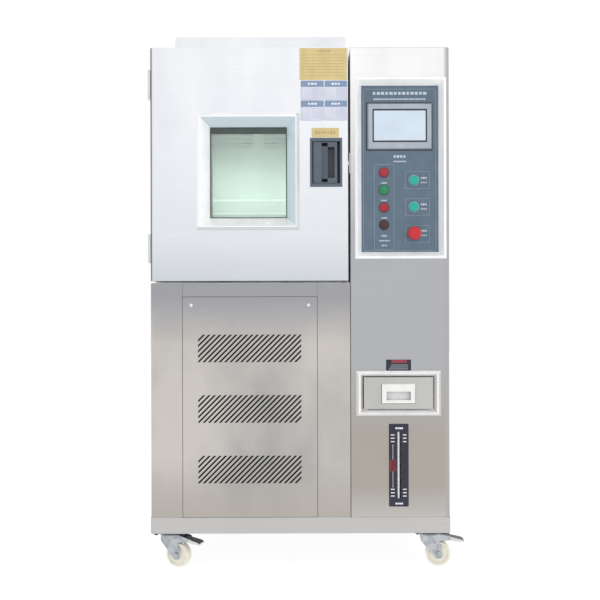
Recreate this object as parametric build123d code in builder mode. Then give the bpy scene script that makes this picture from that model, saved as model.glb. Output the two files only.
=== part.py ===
from build123d import *
import os
from math import atan, cos, degrees, hypot, radians, sin

os.makedirs("parts", exist_ok=True)

# Driving dimensions in millimetres: the cabinet
door_w = 596
door_h = 701
door_t = 80
door_corner = 10
panel_gap = 6
column_w = 298
column_corner = 9
body_d = 900
access_above = 42
base_h = 48
base_proud = 1.5
caster_h = 110
sheet = 1.5
thin_sheet = 1.2
bend_r = 2.5
return_d = 25
seam_gap = 0.6
contact_gap = 0.2
bevel_slope = 45

# The insulated chamber
cavity_w = 400
cavity_h = 500
cavity_d = 400
duct_d = 150
back_wall_t = 100
seal_gap = 8
plug_depth = 25
plug_clearance = 6
shaft_hole_r = 10
rail_r = 5
rail_first = 31
rail_pitch = 118
rail_count = 4
shelf_levels = (0, 1)
shelf_wire_r = 1.75
shelf_bar = 6
shelf_wires = 13
shelf_side_gap = 3
shelf_end_gap = 12
baffle_return_h = 55
port_r = 25
port_wall = 2.5
port_flange_w = 9
port_y = -100

# The door's window, handle and hinges
window_w = 310
window_h = 352
window_x = 295
window_z = 328
ridge_h = 9
ridge_w = 3
funnel_inset = 27
glass_depth = 20
pane_t = 5
pane_overlap = 8
frame_wall = 5.5
handle_x = 529.5
handle_z = 355.5
handle_w = 97
handle_h = 147.5
tray_w = 83
tray_h = 127
tray_d = 30
tray_wall = 2
rim_t = 1.5
lever_end_gap = 1.5
lever_left_gap = 1.5
lever_right_gap = 8
lever_t = 5
lever_setback = 1.5
lever_pivot_x = 9
lever_pivot_r = 2
lever_barrel_r = 4
grip_w = 20
grip_h = 93
grip_d = 16
grip_lip = 8
channel_w = 19
channel_d = 3
notch_h = 10
bolt_w = 12
bolt_reach = 3.8
bolt_l = 26.8
bolt_guide_gap = 0.2
bolt_guide_wall = 2
keeper_t = 1.5
keeper_w = 30
keeper_h = 60
hinge_r = 5.5
hinge_pin_r = 3
hinge_h = 88
hinge_leaf_t = 3
hinge_leaf_l = 56
hinge_spacing = 495.5
hinge_low = 98
hinge_gap = 0.3
hinge_leaf_gap = 0.5
running_fit = 0.05
gasket_w = 14
gasket_offset = 8

# The control panel in the column
hmi_w = 274.5
hmi_h = 545
hmi_x = 151.5
hmi_below_top = 362.5
hmi_proud = 4
hmi_bevel = 6.5
hmi_ridge = 1
hmi_recess = 18
hmi_inset = 13
hmi_wall = 3.2
panel_t = 2.5
screen_w = 194
screen_h = 138
screen_t = 5
screen_slope = 30
screen_above = 129
display_w = 157
display_h = 91
display_rise = 1
display_d = 1
screen_body_d = 35
lamp_flange_r = 15
lamp_flange_t = 3
lamp_lens_r = 11
lamp_lens_h = 8
lamp_lens_slope = 25
lamp_x = -48.5
lamp_pitch = 53
lamp_count = 4
lamp_top = -11
button_x = 42
button_pitch = 80.5
button_top = -35
button_count = 3
button_r = 11.5
button_gap = 0.3
button_rise = 9
button_depth = 4
collar_r = 16
collar_t = 4
barrel_r = 13
barrel_d = 20
barrel_gap = 0.2
mushroom_r = 20
mushroom_t = 12
mushroom_rise = 12
mushroom_slopes = (-20, 35)

# The water drawer, level gauge and tank in the column
drawer_x = 143.5
drawer_z = 530
drawer_frame_w = 255
drawer_frame_h = 134
drawer_w = 212
drawer_h = 100
drawer_proud = 7
drawer_inset = 8
drawer_slope_d = 15
drawer_tunnel_d = 30
drawer_gap = 2
drawer_setback = 2
drawer_front_t = 12
drawer_l = 300
drawer_side_gap = 8
runner_w = 14
runner_h = 20
runner_gap = 0.3
pull_w = 104
pull_h = 60
pull_t = 3
pull_slope = 30
pull_drop = 2
pull_recess_w = 72
pull_recess_h = 26
pull_recess_d = 11
pull_recess_drop = 6
pull_wall = 1.2
gauge_z = 314
gauge_w = 59
gauge_h = 248
gauge_slot_w = 12
gauge_slot_h = 202
gauge_t = 1.5
tube_r = 4
tube_wall = 1
tube_l = 206
tube_setback = 8
elbow_h = 14
elbow_w = 12
tank_w = 240
tank_d = 280
tank_h = 282
tank_setback = 78
tank_wall = 2

# The machine compartment and the fittings outside
access_w = 405
access_h = 663
access_x = 96.5
access_gap = 1
access_edge_d = 13.5
access_lip = 15
access_top_lip = 40
access_screw_in = 26
access_screw_down = 25
screw_r = 4
louvre_groups = 3
louvre_count = 23
louvre_w = 310
louvre_h = 83
louvre_pitch = 16.2
louvre_slot = 5
louvre_group_pitch = 182
louvre_top = 113.5
louvre_shift = -0.75
rear_slot_w = 130
rear_slot_h = 6
rear_slot_pitch = 16
rear_slot_rows = 10
cover_w = 555
cover_d = 508
cover_h = 100
cover_left = 45
cover_front = 200
cover_flange = 12
motor_r = 55
motor_h = 80
motor_flange_r = 75
motor_flange_t = 6
motor_cap_t = 18
blower_shaft_r = 6
blower_r = 64
blower_h = 50
blower_below_top = 15
blower_blades = 20
blower_blade_w = 14
blower_blade_turn = 35
blower_hub_r = 14
condenser_w = 360
condenser_h = 360
condenser_t = 50
condenser_setback = 33
condenser_x = 300
condenser_fins = 23
fan_r = 140
fan_hub_r = 28
fan_blades = 5
fan_depth = 30
fan_pitch = 28
fan_shaft_r = 4
fan_motor_l = 50
shroud_d = 45
shroud_margin = 24
compressor_r = 90
compressor_h = 260
compressor_x = 200
compressor_y = 100
spout_r = 8
spout_l = 25
spout_flange_r = 16
spout_x = 150
spout_above_base = 42
gland_r = 12
gland_neck_r = 8.5
gland_x = 700
gland_above_base = 92

# The casters
caster_inset_x = 55
caster_inset_y = 45
caster_plate_l = 100
caster_plate_w = 85
caster_plate_t = 2.5
gusset_t = 4
rail_w = 40
pan_t = 2
race_r = 30
race_h = 6
crown_r = 28
crown_t = 5.2
crown_gap = 0.3
crown_lap = 6
kingpin_r = 5
kingpin_head_r = 9
kingpin_head_h = 4
wheel_r = 37.5
wheel_w = 26
wheel_chamfer = 3
hub_r = 12
hub_w = 28
web_recess = 4
rim_w = 8
axle_r = 6
axle_head_r = 9
axle_head_h = 4.5
caster_trail = 25
fork_inner = 30
fork_wall = 2.5
fork_tip_r = 13
pedal_w = 28
pedal_tip_w = 36
pedal_t = 2.5
pedal_reach = 103
pedal_flange = 7
pedal_knee_gap = 6
pedal_knee_drop = 3
pedal_pivot_x = 28
pedal_pivot_drop = 20
pedal_pin_r = 2.5
pedal_tip_drop = 27
pad_r = 3.7
pad_x = 18
pad_drop = 12
front_left_yaw = -20
front_right_yaw = -5
rear_left_yaw = 200
rear_right_yaw = 12

# Heights
base_top = caster_h + base_h
lower_h = access_h + access_above
deck_top = base_top + lower_h
door_bottom = deck_top + panel_gap
door_top = door_bottom + door_h
shell_top = door_top - sheet

# Widths and depths, centred on the whole object
body_w = door_w + panel_gap + column_w
pedal_yaw = radians(abs(front_right_yaw))
pedal_x_reach = pedal_reach * cos(pedal_yaw) + pedal_tip_w / 2 * sin(pedal_yaw)
pedal_beyond = pedal_x_reach - caster_inset_x
overall_w = 2 * hinge_r + body_w + pedal_beyond
body_left = 2 * hinge_r - overall_w / 2
body_right = body_left + body_w
door_right = body_left + door_w
column_left = door_right + panel_gap
overall_d = ridge_h + body_d + spout_l
body_front = ridge_h - overall_d / 2
body_back = body_front + body_d
door_back = body_front + door_t
jamb = door_back + seal_gap

# The chamber's own places
divider_left = column_left - sheet
inner_left = body_left + sheet
cavity_x = (body_left + door_right) / 2
cavity_z = (door_bottom + door_top) / 2
cavity_left = cavity_x - cavity_w / 2
cavity_right = cavity_x + cavity_w / 2
cavity_floor = cavity_z - cavity_h / 2
cavity_roof = cavity_z + cavity_h / 2
plug_face = jamb + plug_depth
baffle_y = plug_face + cavity_d
duct_back = baffle_y + duct_d
liner_back = duct_back + thin_sheet
foam_back = liner_back + back_wall_t
blower_x = cavity_x
blower_y = (baffle_y + sheet + duct_back) / 2


def front(y):
    """Plane facing the viewer: its x is the object's X and its y the object's Z."""
    return Plane(origin=(0, y, 0), x_dir=(1, 0, 0), z_dir=(0, -1, 0))


def side(x):
    """Plane facing right: its x is the object's Y and its y the object's Z."""
    return Plane(origin=(x, 0, 0), x_dir=(0, 1, 0), z_dir=(1, 0, 0))


def level(z):
    return Plane.XY.offset(z)


def block(xs, ys, zs, mode=Mode.ADD):
    """Box between two X, two Y and two Z values."""
    middle = ((xs[0] + xs[1]) / 2, (ys[0] + ys[1]) / 2, (zs[0] + zs[1]) / 2)
    with Locations(middle):
        Box(xs[1] - xs[0], ys[1] - ys[0], zs[1] - zs[0], mode=mode)


def around(middle, width):
    return (middle - width / 2, middle + width / 2)


def rod(start, end, radius, mode=Mode.ADD):
    """Round bar from one point to another."""
    axis = Vector(*end) - Vector(*start)
    with Locations(Plane(origin=start, z_dir=axis)):
        Cylinder(radius, axis.length, align=(Align.CENTER, Align.CENTER, Align.MIN), mode=mode)


def folded(points, radii, wall, turn):
    """Section of a sheet folded along a line, its wall laid to one side of the line."""
    with BuildSketch() as section:
        with BuildLine():
            FilletPolyline(*points, radius=radii)
            offset(amount=wall, side=turn)
        make_face()
    return section.sketch


def save(item, name):
    item.part.label = name
    export_step(item.part, f"parts/{name}.step")


# Base: box rails round a pan, with the caster plates bolted under the corners
base_left = body_left - base_proud
base_right = body_right + base_proud
base_front = body_front - base_proud
base_back = body_back + base_proud
caster_x = (body_left + caster_inset_x, body_right - caster_inset_x)
caster_y = (body_front + caster_inset_y, body_back - caster_inset_y)
casters = {
    "front_left": (caster_x[0], caster_y[0], front_left_yaw),
    "front_right": (caster_x[1], caster_y[0], front_right_yaw),
    "rear_left": (caster_x[0], caster_y[1], rear_left_yaw),
    "rear_right": (caster_x[1], caster_y[1], rear_right_yaw),
}
plate_bottom = caster_h - caster_plate_t
race_bottom = plate_bottom - race_h
crown_top = race_bottom - crown_gap
crown_bottom = crown_top - crown_t
kingpin_bottom = crown_bottom - crown_gap - kingpin_head_h

with BuildPart() as base_frame:
    with BuildSketch(level(caster_h)):
        with Locations(((base_left + base_right) / 2, (base_front + base_back) / 2)):
            RectangleRounded(base_right - base_left, base_back - base_front, column_corner)
    extrude(amount=base_h)
    bay_y = (base_front + rail_w, base_back - rail_w)
    cross_left = divider_left - rail_w / 2
    for bay_x in ((base_left + rail_w, cross_left), (cross_left + rail_w, base_right - rail_w)):
        block(bay_x, bay_y, (caster_h, base_top - pan_t), Mode.SUBTRACT)
    for x, y, yaw in casters.values():
        block(around(x, caster_plate_l), around(y, caster_plate_w), (caster_h, caster_h + gusset_t))
        block(around(x, caster_plate_l), around(y, caster_plate_w), (plate_bottom, caster_h))
        rod((x, y, race_bottom), (x, y, plate_bottom), race_r)
        rod((x, y, kingpin_bottom), (x, y, race_bottom), kingpin_r)
        rod((x, y, kingpin_bottom), (x, y, kingpin_bottom + kingpin_head_h), kingpin_head_r)
save(base_frame, "base_frame")

# Side walls, back and divider: the chamber's part of a wall starts behind the door
lower_front = body_front + return_d
port_z = cavity_floor + rail_first + 1.5 * rail_pitch


def stepped_wall(back):
    with BuildSketch() as outline:
        with BuildLine():
            Polyline(
                (lower_front, base_top),
                (back, base_top),
                (back, shell_top),
                (jamb, shell_top),
                (jamb, deck_top),
                (lower_front, deck_top),
                close=True,
            )
        make_face()
    return outline.sketch


with BuildPart() as left_side_panel:
    with BuildSketch(side(body_left)):
        add(stepped_wall(body_back))
    extrude(amount=sheet)
    rod((body_left, port_y, port_z), (inner_left, port_y, port_z), port_r + port_wall, Mode.SUBTRACT)
save(left_side_panel, "left_side_panel")

with BuildPart() as right_side_panel:
    block((body_right - sheet, body_right), (lower_front, body_back), (base_top, shell_top))
save(right_side_panel, "right_side_panel")

with BuildPart() as divider_panel:
    with BuildSketch(side(divider_left)):
        add(stepped_wall(body_back - sheet))
    extrude(amount=sheet)
save(divider_panel, "divider_panel")

rear_slots_z = (base_top + deck_top) / 2
with BuildPart() as back_panel:
    with BuildSketch(front(body_back)):
        with Locations(((inner_left + body_right - sheet) / 2, (base_top + shell_top) / 2)):
            Rectangle(body_w - 2 * sheet, shell_top - base_top)
        for x in (cavity_x - cavity_w / 4, cavity_x + cavity_w / 4, (column_left + body_right) / 2):
            with Locations((x, rear_slots_z)):
                with GridLocations(0, rear_slot_pitch, 1, rear_slot_rows):
                    SlotOverall(rear_slot_w, rear_slot_h, mode=Mode.SUBTRACT)
    extrude(amount=sheet)
save(back_panel, "back_panel")

# Roof sheet with the hole for the blower's shaft
with BuildPart() as top_panel:
    with BuildSketch(level(shell_top)) as roof:
        with BuildLine():
            Polyline(
                (body_left, jamb),
                (column_left, jamb),
                (column_left, body_front),
                (body_right, body_front),
                (body_right, body_back),
                (body_left, body_back),
                close=True,
            )
        make_face()
        front_corners = roof.vertices().group_by(Axis.Y)[0].sort_by(Axis.X)
        fillet(front_corners[1], column_corner)
        fillet(roof.vertices().group_by(Axis.Y)[0].sort_by(Axis.X)[0], bend_r)
        with Locations((blower_x, blower_y)):
            Circle(shaft_hole_r, mode=Mode.SUBTRACT)
    extrude(amount=sheet)
save(top_panel, "top_panel")

# Column front: one folded sheet with openings for the panel, the drawer and the gauge
hmi_centre_x = column_left + hmi_x
hmi_z = door_top - hmi_below_top
drawer_centre_x = column_left + drawer_x
panel_w = hmi_w - 2 * (hmi_bevel + hmi_ridge + hmi_inset)
panel_h = hmi_h - 2 * (hmi_bevel + hmi_ridge + hmi_inset)
hmi_inset_behind = hmi_inset * hmi_recess / (hmi_recess + hmi_proud)
hmi_open_w = panel_w + 2 * (hmi_inset_behind + hmi_wall + contact_gap)
hmi_open_h = panel_h + 2 * (hmi_inset_behind + hmi_wall + contact_gap)
tunnel_wall = sheet
drawer_open_w = drawer_w + 2 * drawer_inset
drawer_open_h = drawer_h + 2 * drawer_inset
column_profile = folded(
    [(column_left, jamb), (column_left, body_front), (body_right, body_front), (body_right, lower_front)],
    [bend_r, column_corner],
    sheet,
    Side.LEFT,
)
with BuildPart() as column_front:
    with BuildSketch(level(base_top)):
        add(column_profile)
    extrude(amount=shell_top - base_top)
    with BuildSketch(front(body_front)):
        with Locations((hmi_centre_x, hmi_z)):
            Rectangle(hmi_open_w, hmi_open_h)
        with Locations((drawer_centre_x, drawer_z)):
            Rectangle(drawer_open_w, drawer_open_h)
        with Locations((drawer_centre_x, gauge_z)):
            SlotOverall(gauge_slot_h + sheet, gauge_slot_w + sheet, rotation=90)
    extrude(amount=-sheet, mode=Mode.SUBTRACT)
save(column_front, "column_front")

# Deck under the chamber
fascia_right = column_left - seam_gap
with BuildPart() as chamber_deck:
    with BuildSketch(level(deck_top - sheet)) as deck:
        deck_size = (fascia_right - sheet - inner_left, body_back - body_front - 2 * sheet)
        with Locations((inner_left + deck_size[0] / 2, (body_front + body_back) / 2)):
            Rectangle(*deck_size)
        fillet(deck.vertices().group_by(Axis.Y)[0].sort_by(Axis.X)[0], door_corner)
    extrude(amount=sheet)
save(chamber_deck, "chamber_deck")

# Lower fascia: a folded sheet whose opening steps back to a lip for the access panel
access_centre_x = body_left + access_x + access_w / 2
fascia_profile = folded(
    [
        (body_left, lower_front),
        (body_left, body_front),
        (fascia_right, body_front),
        (fascia_right, lower_front),
    ],
    [door_corner, bend_r],
    sheet,
    Side.LEFT,
)
opening_w = access_w + 2 * access_gap
opening_top = base_top + access_h + access_gap
with BuildPart() as lower_fascia:
    with BuildSketch(level(base_top)):
        add(fascia_profile)
    extrude(amount=lower_h - sheet)
    open_x = around(access_centre_x, opening_w)
    lip_y = (body_front + access_edge_d, body_front + access_edge_d + sheet)
    wall_x = (open_x[0] - sheet, open_x[1] + sheet)
    block(wall_x, (body_front, lip_y[1]), (base_top, opening_top + sheet))
    block(open_x, (body_front, lip_y[0]), (base_top, opening_top), Mode.SUBTRACT)
    lip_x = (open_x[0] + access_lip, open_x[1] - access_lip)
    block(lip_x, lip_y, (base_top, opening_top - access_top_lip), Mode.SUBTRACT)
save(lower_fascia, "lower_fascia")

# Access panel: a shallow tray with three groups of slanted slots
screw_places = [
    (access_centre_x - access_w / 2 + access_screw_in, base_top + access_h - access_screw_down),
    (access_centre_x + access_w / 2 - access_screw_in, base_top + access_h - access_screw_down),
]
full_slot = hypot(louvre_h, louvre_h)
louvre_first = base_top + access_h - louvre_top - louvre_h / 2
louvre_z = [louvre_first - i * louvre_group_pitch for i in range(louvre_groups)]
with BuildPart() as access_panel:
    panel_x = around(access_centre_x, access_w)
    block(panel_x, (body_front, body_front + access_edge_d), (base_top, base_top + access_h))
    hollow_x = (panel_x[0] + sheet, panel_x[1] - sheet)
    hollow_z = (base_top + sheet, base_top + access_h - sheet)
    block(hollow_x, (body_front + sheet, body_front + access_edge_d), hollow_z, Mode.SUBTRACT)
    for z in louvre_z:
        with BuildSketch(front(body_front)):
            for i in range(louvre_count):
                slot_x = access_centre_x + louvre_shift + (i - (louvre_count - 1) / 2) * louvre_pitch
                with Locations((slot_x, z)):
                    Rectangle(full_slot + louvre_slot, louvre_slot, rotation=45)
            with Locations((access_centre_x + louvre_shift, z)):
                Rectangle(louvre_w, louvre_h, mode=Mode.INTERSECT)
        extrude(amount=-sheet, mode=Mode.SUBTRACT)
    for x, z in screw_places:
        rod((x, body_front, z), (x, body_front + sheet, z), screw_r, Mode.SUBTRACT)
save(access_panel, "access_panel")

# Chamber liner: the jamb flange, the tub behind it and the shelf rails pressed in its walls
tub_x = (cavity_left - thin_sheet, cavity_right + thin_sheet)
tub_z = (cavity_floor - thin_sheet, cavity_roof + thin_sheet)
rail_levels = [cavity_floor + rail_first + i * rail_pitch for i in range(rail_count)]
with BuildPart() as chamber_liner:
    block((inner_left, divider_left), (jamb, jamb + sheet), (deck_top, shell_top))
    block(tub_x, (jamb, liner_back), tub_z)
    block((cavity_left, cavity_right), (jamb, duct_back), (cavity_floor, cavity_roof), Mode.SUBTRACT)
    with BuildSketch(front(plug_face + plug_clearance)):
        for z in rail_levels:
            for x in (cavity_left, cavity_right):
                with Locations((x, z)):
                    Circle(rail_r)
        with Locations((cavity_x, cavity_z)):
            Rectangle(cavity_w, cavity_h, mode=Mode.INTERSECT)
    extrude(amount=plug_face + 2 * plug_clearance - baffle_y)
    port_hole_r = port_r + port_wall
    rod((tub_x[0], port_y, port_z), (cavity_left + 2 * rail_r, port_y, port_z), port_hole_r, Mode.SUBTRACT)
    rod((blower_x, blower_y, cavity_roof), (blower_x, blower_y, tub_z[1]), shaft_hole_r, Mode.SUBTRACT)
save(chamber_liner, "chamber_liner")

# Foam between the liner and the outer sheets
with BuildPart() as chamber_insulation:
    block((inner_left, divider_left), (jamb + sheet, foam_back), (deck_top, shell_top))
    block(tub_x, (jamb, liner_back), tub_z, Mode.SUBTRACT)
    rod((inner_left, port_y, port_z), (tub_x[0], port_y, port_z), port_hole_r, Mode.SUBTRACT)
    rod((blower_x, blower_y, tub_z[1]), (blower_x, blower_y, shell_top), shaft_hole_r, Mode.SUBTRACT)
save(chamber_insulation, "chamber_insulation")

# Cable port through the left wall
port_inner = cavity_left + thin_sheet
port_outer = body_left - hinge_leaf_t
with BuildPart() as port_sleeve:
    rod((port_outer, port_y, port_z), (port_inner, port_y, port_z), port_r + port_wall - contact_gap)
    rod((port_outer, port_y, port_z), (body_left, port_y, port_z), port_hole_r + port_flange_w)
    rod((cavity_left, port_y, port_z), (port_inner, port_y, port_z), port_hole_r + port_flange_w)
    rod((port_outer, port_y, port_z), (port_inner, port_y, port_z), port_r, Mode.SUBTRACT)
save(port_sleeve, "port_sleeve")

# Air baffle in front of the duct: return gap below, slotted outlet above
outlet_rows = 6
outlet_pitch = 15
outlet_slot_h = 7
outlet_slot_w = 150
outlet_below_roof = 60
with BuildPart() as air_baffle:
    with BuildSketch(front(baffle_y)):
        with Locations((cavity_x, (cavity_floor + baffle_return_h + cavity_roof) / 2)):
            Rectangle(cavity_w, cavity_h - baffle_return_h)
        with Locations((cavity_x, cavity_roof - outlet_below_roof)):
            with GridLocations(cavity_w / 2 - 2 * rail_r, outlet_pitch, 2, outlet_rows):
                SlotOverall(outlet_slot_w, outlet_slot_h, mode=Mode.SUBTRACT)
    extrude(amount=-sheet)
save(air_baffle, "air_baffle")

# Two wire shelves resting on the rails
shelf_x = (cavity_left + shelf_side_gap, cavity_right - shelf_side_gap)
shelf_y = (plug_face + shelf_end_gap, baffle_y - shelf_end_gap)
with BuildPart() as wire_shelves:
    for shelf_level in shelf_levels:
        z = rail_levels[shelf_level] + rail_r + shelf_bar / 2
        bar_z = around(z, shelf_bar)
        block(shelf_x, shelf_y, bar_z)
        inside_x = (shelf_x[0] + shelf_bar, shelf_x[1] - shelf_bar)
        inside_y = (shelf_y[0] + shelf_bar, shelf_y[1] - shelf_bar)
        block(inside_x, inside_y, bar_z, Mode.SUBTRACT)
        wire_pitch = (inside_x[1] - inside_x[0]) / (shelf_wires + 1)
        for i in range(shelf_wires):
            x = inside_x[0] + (i + 1) * wire_pitch
            rod((x, inside_y[0] - shelf_bar / 2, z), (x, inside_y[1] + shelf_bar / 2, z), shelf_wire_r)
save(wire_shelves, "wire_shelves")

# Finned evaporator on the duct's floor
evaporator_h = 120
evaporator_d = 90
evaporator_margin = 25
evaporator_fins = 17
evaporator_tube_r = 5
evaporator_foot = 15
fin_t = 1
evaporator_x = (cavity_left + evaporator_margin, cavity_right - evaporator_margin)
evaporator_y = around(blower_y, evaporator_d)
evaporator_z = (cavity_floor + evaporator_foot, cavity_floor + evaporator_foot + evaporator_h)
with BuildPart() as evaporator:
    fin_pitch = (evaporator_x[1] - evaporator_x[0] - fin_t) / (evaporator_fins - 1)
    for i in range(evaporator_fins):
        fin_left = evaporator_x[0] + i * fin_pitch
        block((fin_left, fin_left + fin_t), evaporator_y, evaporator_z)
    for x in (evaporator_x[0], evaporator_x[1] - fin_t):
        block((x, x + fin_t), evaporator_y, (cavity_floor, evaporator_z[0]))
    for row in (-1, 1):
        for z_part in (1, 3, 5):
            z = evaporator_z[0] + evaporator_h * z_part / 6
            y = blower_y + row * evaporator_d / 4
            rod((evaporator_x[0], y, z), (evaporator_x[1], y, z), evaporator_tube_r)
save(evaporator, "evaporator")

# Tubular heater bent to and fro above the evaporator
heater_r = 4
heater_loops = 3
heater_pitch = 50
heater_h = 90
heater_rise = 40
heater_bend = 20
heater_floor = evaporator_z[1] + heater_rise
heater_left = cavity_x - heater_loops * heater_pitch
heater_points = [(heater_left, duct_back, heater_floor), (heater_left, blower_y, heater_floor)]
for i in range(heater_loops):
    x = heater_left + (2 * i) * heater_pitch
    heater_points.append((x, blower_y, heater_floor + heater_h))
    heater_points.append((x + heater_pitch, blower_y, heater_floor + heater_h))
    heater_points.append((x + heater_pitch, blower_y, heater_floor))
    heater_points.append((x + 2 * heater_pitch, blower_y, heater_floor))
heater_points.append((heater_left + 2 * heater_loops * heater_pitch, duct_back, heater_floor))
with BuildPart() as heater_coil:
    with BuildLine() as heater_line:
        FilletPolyline(*heater_points, radius=heater_bend)
    with BuildSketch(Plane(origin=heater_line.line @ 0, z_dir=heater_line.line % 0)):
        Circle(heater_r)
    sweep()
save(heater_coil, "heater_coil")

# Blower motor on the roof, its rotor down in the duct
motor_bottom = door_top
motor_top = motor_bottom + motor_flange_t + motor_h
rotor_top = motor_top - motor_cap_t
with BuildPart() as blower_motor:
    flange_top = (blower_x, blower_y, motor_bottom + motor_flange_t)
    rod((blower_x, blower_y, motor_bottom), flange_top, motor_flange_r)
    rod((blower_x, blower_y, motor_bottom + motor_flange_t), (blower_x, blower_y, motor_top), motor_r)
    motor_ribs = 12
    with Locations((blower_x, blower_y, motor_bottom + motor_flange_t + motor_h / 2)):
        with PolarLocations(motor_r, motor_ribs):
            Box(motor_flange_t, motor_flange_t / 2, motor_h - motor_flange_t)
    shaft_bore_r = blower_shaft_r + running_fit
    rod((blower_x, blower_y, motor_bottom), (blower_x, blower_y, rotor_top), shaft_bore_r, Mode.SUBTRACT)
save(blower_motor, "blower_motor")

rotor_bottom = cavity_roof - blower_below_top - blower_h
with BuildPart() as blower_impeller:
    rotor_end = rotor_top - contact_gap
    rod((blower_x, blower_y, rotor_bottom), (blower_x, blower_y, rotor_end), blower_shaft_r)
    rod((blower_x, blower_y, rotor_bottom), (blower_x, blower_y, rotor_bottom + blower_h / 2), blower_hub_r)
    rod((blower_x, blower_y, rotor_bottom), (blower_x, blower_y, rotor_bottom + sheet), blower_r)
    blade_r = blower_r - blower_blade_w * 2 / 3
    with Locations((blower_x, blower_y, rotor_bottom + blower_h / 2)):
        with PolarLocations(blade_r, blower_blades):
            Box(blower_blade_w, sheet, blower_h, rotation=(0, 0, blower_blade_turn))
    with BuildSketch(level(rotor_bottom + blower_h - sheet)):
        with Locations((blower_x, blower_y)):
            Circle(blower_r)
            Circle(blower_r - blower_blade_w, mode=Mode.SUBTRACT)
    extrude(amount=sheet)
save(blower_impeller, "blower_impeller")

cover_x = (body_left + cover_left, body_left + cover_left + cover_w)
cover_y = (body_front + cover_front, body_front + cover_front + cover_d)
cover_top = door_top + cover_h
with BuildPart() as motor_cover:
    block(cover_x, cover_y, (door_top, cover_top))
    fillet(motor_cover.edges().filter_by(Axis.X).group_by(Axis.Z)[-1], bend_r)
    cover_hollow_x = (cover_x[0] + sheet, cover_x[1] - sheet)
    cover_hollow_y = (cover_y[0] + sheet, cover_y[1] - sheet)
    block(cover_hollow_x, cover_hollow_y, (door_top, cover_top - sheet), Mode.SUBTRACT)
    front_flange = (cover_y[0] - cover_flange, cover_y[0] + sheet)
    rear_flange = (cover_y[1] - sheet, cover_y[1] + cover_flange)
    for y in (front_flange, rear_flange):
        block(cover_x, y, (door_top, door_top + sheet))
save(motor_cover, "motor_cover")

# Condenser with its fan shroud and motor bracket behind the access panel
condenser_cx = body_left + condenser_x
condenser_y = (body_front + condenser_setback, body_front + condenser_setback + condenser_t)
condenser_foot = 12
condenser_z = (base_top + condenser_foot, base_top + condenser_foot + condenser_h)
condenser_cz = (condenser_z[0] + condenser_z[1]) / 2
shroud_y = (condenser_y[1], condenser_y[1] + shroud_d)
fan_gap = 6
fan_motor_r = 34
bracket_t = 3
bracket_y = (shroud_y[1], shroud_y[1] + bracket_t)
fan_motor_y = (bracket_y[0], bracket_y[1] + fan_motor_l)
with BuildPart() as condenser:
    block(around(condenser_cx, condenser_w), condenser_y, condenser_z)
    fin_step = condenser_w / condenser_fins
    fin_groove = 6
    for i in range(condenser_fins - 1):
        groove_x = condenser_cx - condenser_w / 2 + (i + 1) * fin_step
        groove_z = (condenser_z[0] + fin_groove, condenser_z[1] - fin_groove)
        groove_y = (condenser_y[0], condenser_y[0] + fin_groove)
        block(around(groove_x, fin_step / 2), groove_y, groove_z, Mode.SUBTRACT)
    for x in (condenser_cx - condenser_w / 2, condenser_cx + condenser_w / 2 - condenser_foot):
        block((x, x + condenser_foot), condenser_y, (base_top, condenser_z[0]))
    with BuildSketch(front(shroud_y[0])):
        with Locations((condenser_cx, condenser_cz)):
            Rectangle(2 * (fan_r + shroud_margin), 2 * (fan_r + shroud_margin))
            Circle(fan_r + fan_gap, mode=Mode.SUBTRACT)
    extrude(amount=-sheet)
    with BuildSketch(front(shroud_y[0])):
        with Locations((condenser_cx, condenser_cz)):
            Circle(fan_r + fan_gap + sheet)
            Circle(fan_r + fan_gap, mode=Mode.SUBTRACT)
    extrude(amount=-shroud_d)
    with BuildSketch(front(bracket_y[0])):
        with Locations((condenser_cx, condenser_cz)):
            for turn in (45, 135):
                Rectangle(2 * (fan_r + fan_gap + sheet), fan_motor_r / 2, rotation=turn)
    extrude(amount=-bracket_t)
    motor_axis = [(condenser_cx, y, condenser_cz) for y in fan_motor_y]
    rod(motor_axis[0], motor_axis[1], fan_motor_r)
    bore_end = (condenser_cx, fan_motor_y[0] + fan_depth, condenser_cz)
    rod(motor_axis[0], bore_end, fan_shaft_r + running_fit, Mode.SUBTRACT)
save(condenser, "condenser")

fan_y = (shroud_y[0] + fan_gap, shroud_y[0] + fan_gap + fan_depth)
blade_t = 2
blade_w = 60
blade_l = fan_r - fan_hub_r
with BuildPart() as condenser_fan:
    hub_axis = [(condenser_cx, y, condenser_cz) for y in fan_y]
    rod(hub_axis[0], hub_axis[1], fan_hub_r)
    rod(hub_axis[1], (condenser_cx, fan_motor_y[0] + fan_depth - contact_gap, condenser_cz), fan_shaft_r)
    fan_plane = Plane(origin=(condenser_cx, (fan_y[0] + fan_y[1]) / 2, condenser_cz), z_dir=(0, -1, 0))
    with Locations(fan_plane):
        with PolarLocations((fan_hub_r + fan_r) / 2 - blade_t, fan_blades):
            Box(blade_l, blade_w * cos(radians(fan_pitch)), blade_t, rotation=(fan_pitch, 0, 0))
save(condenser_fan, "condenser_fan")

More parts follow.
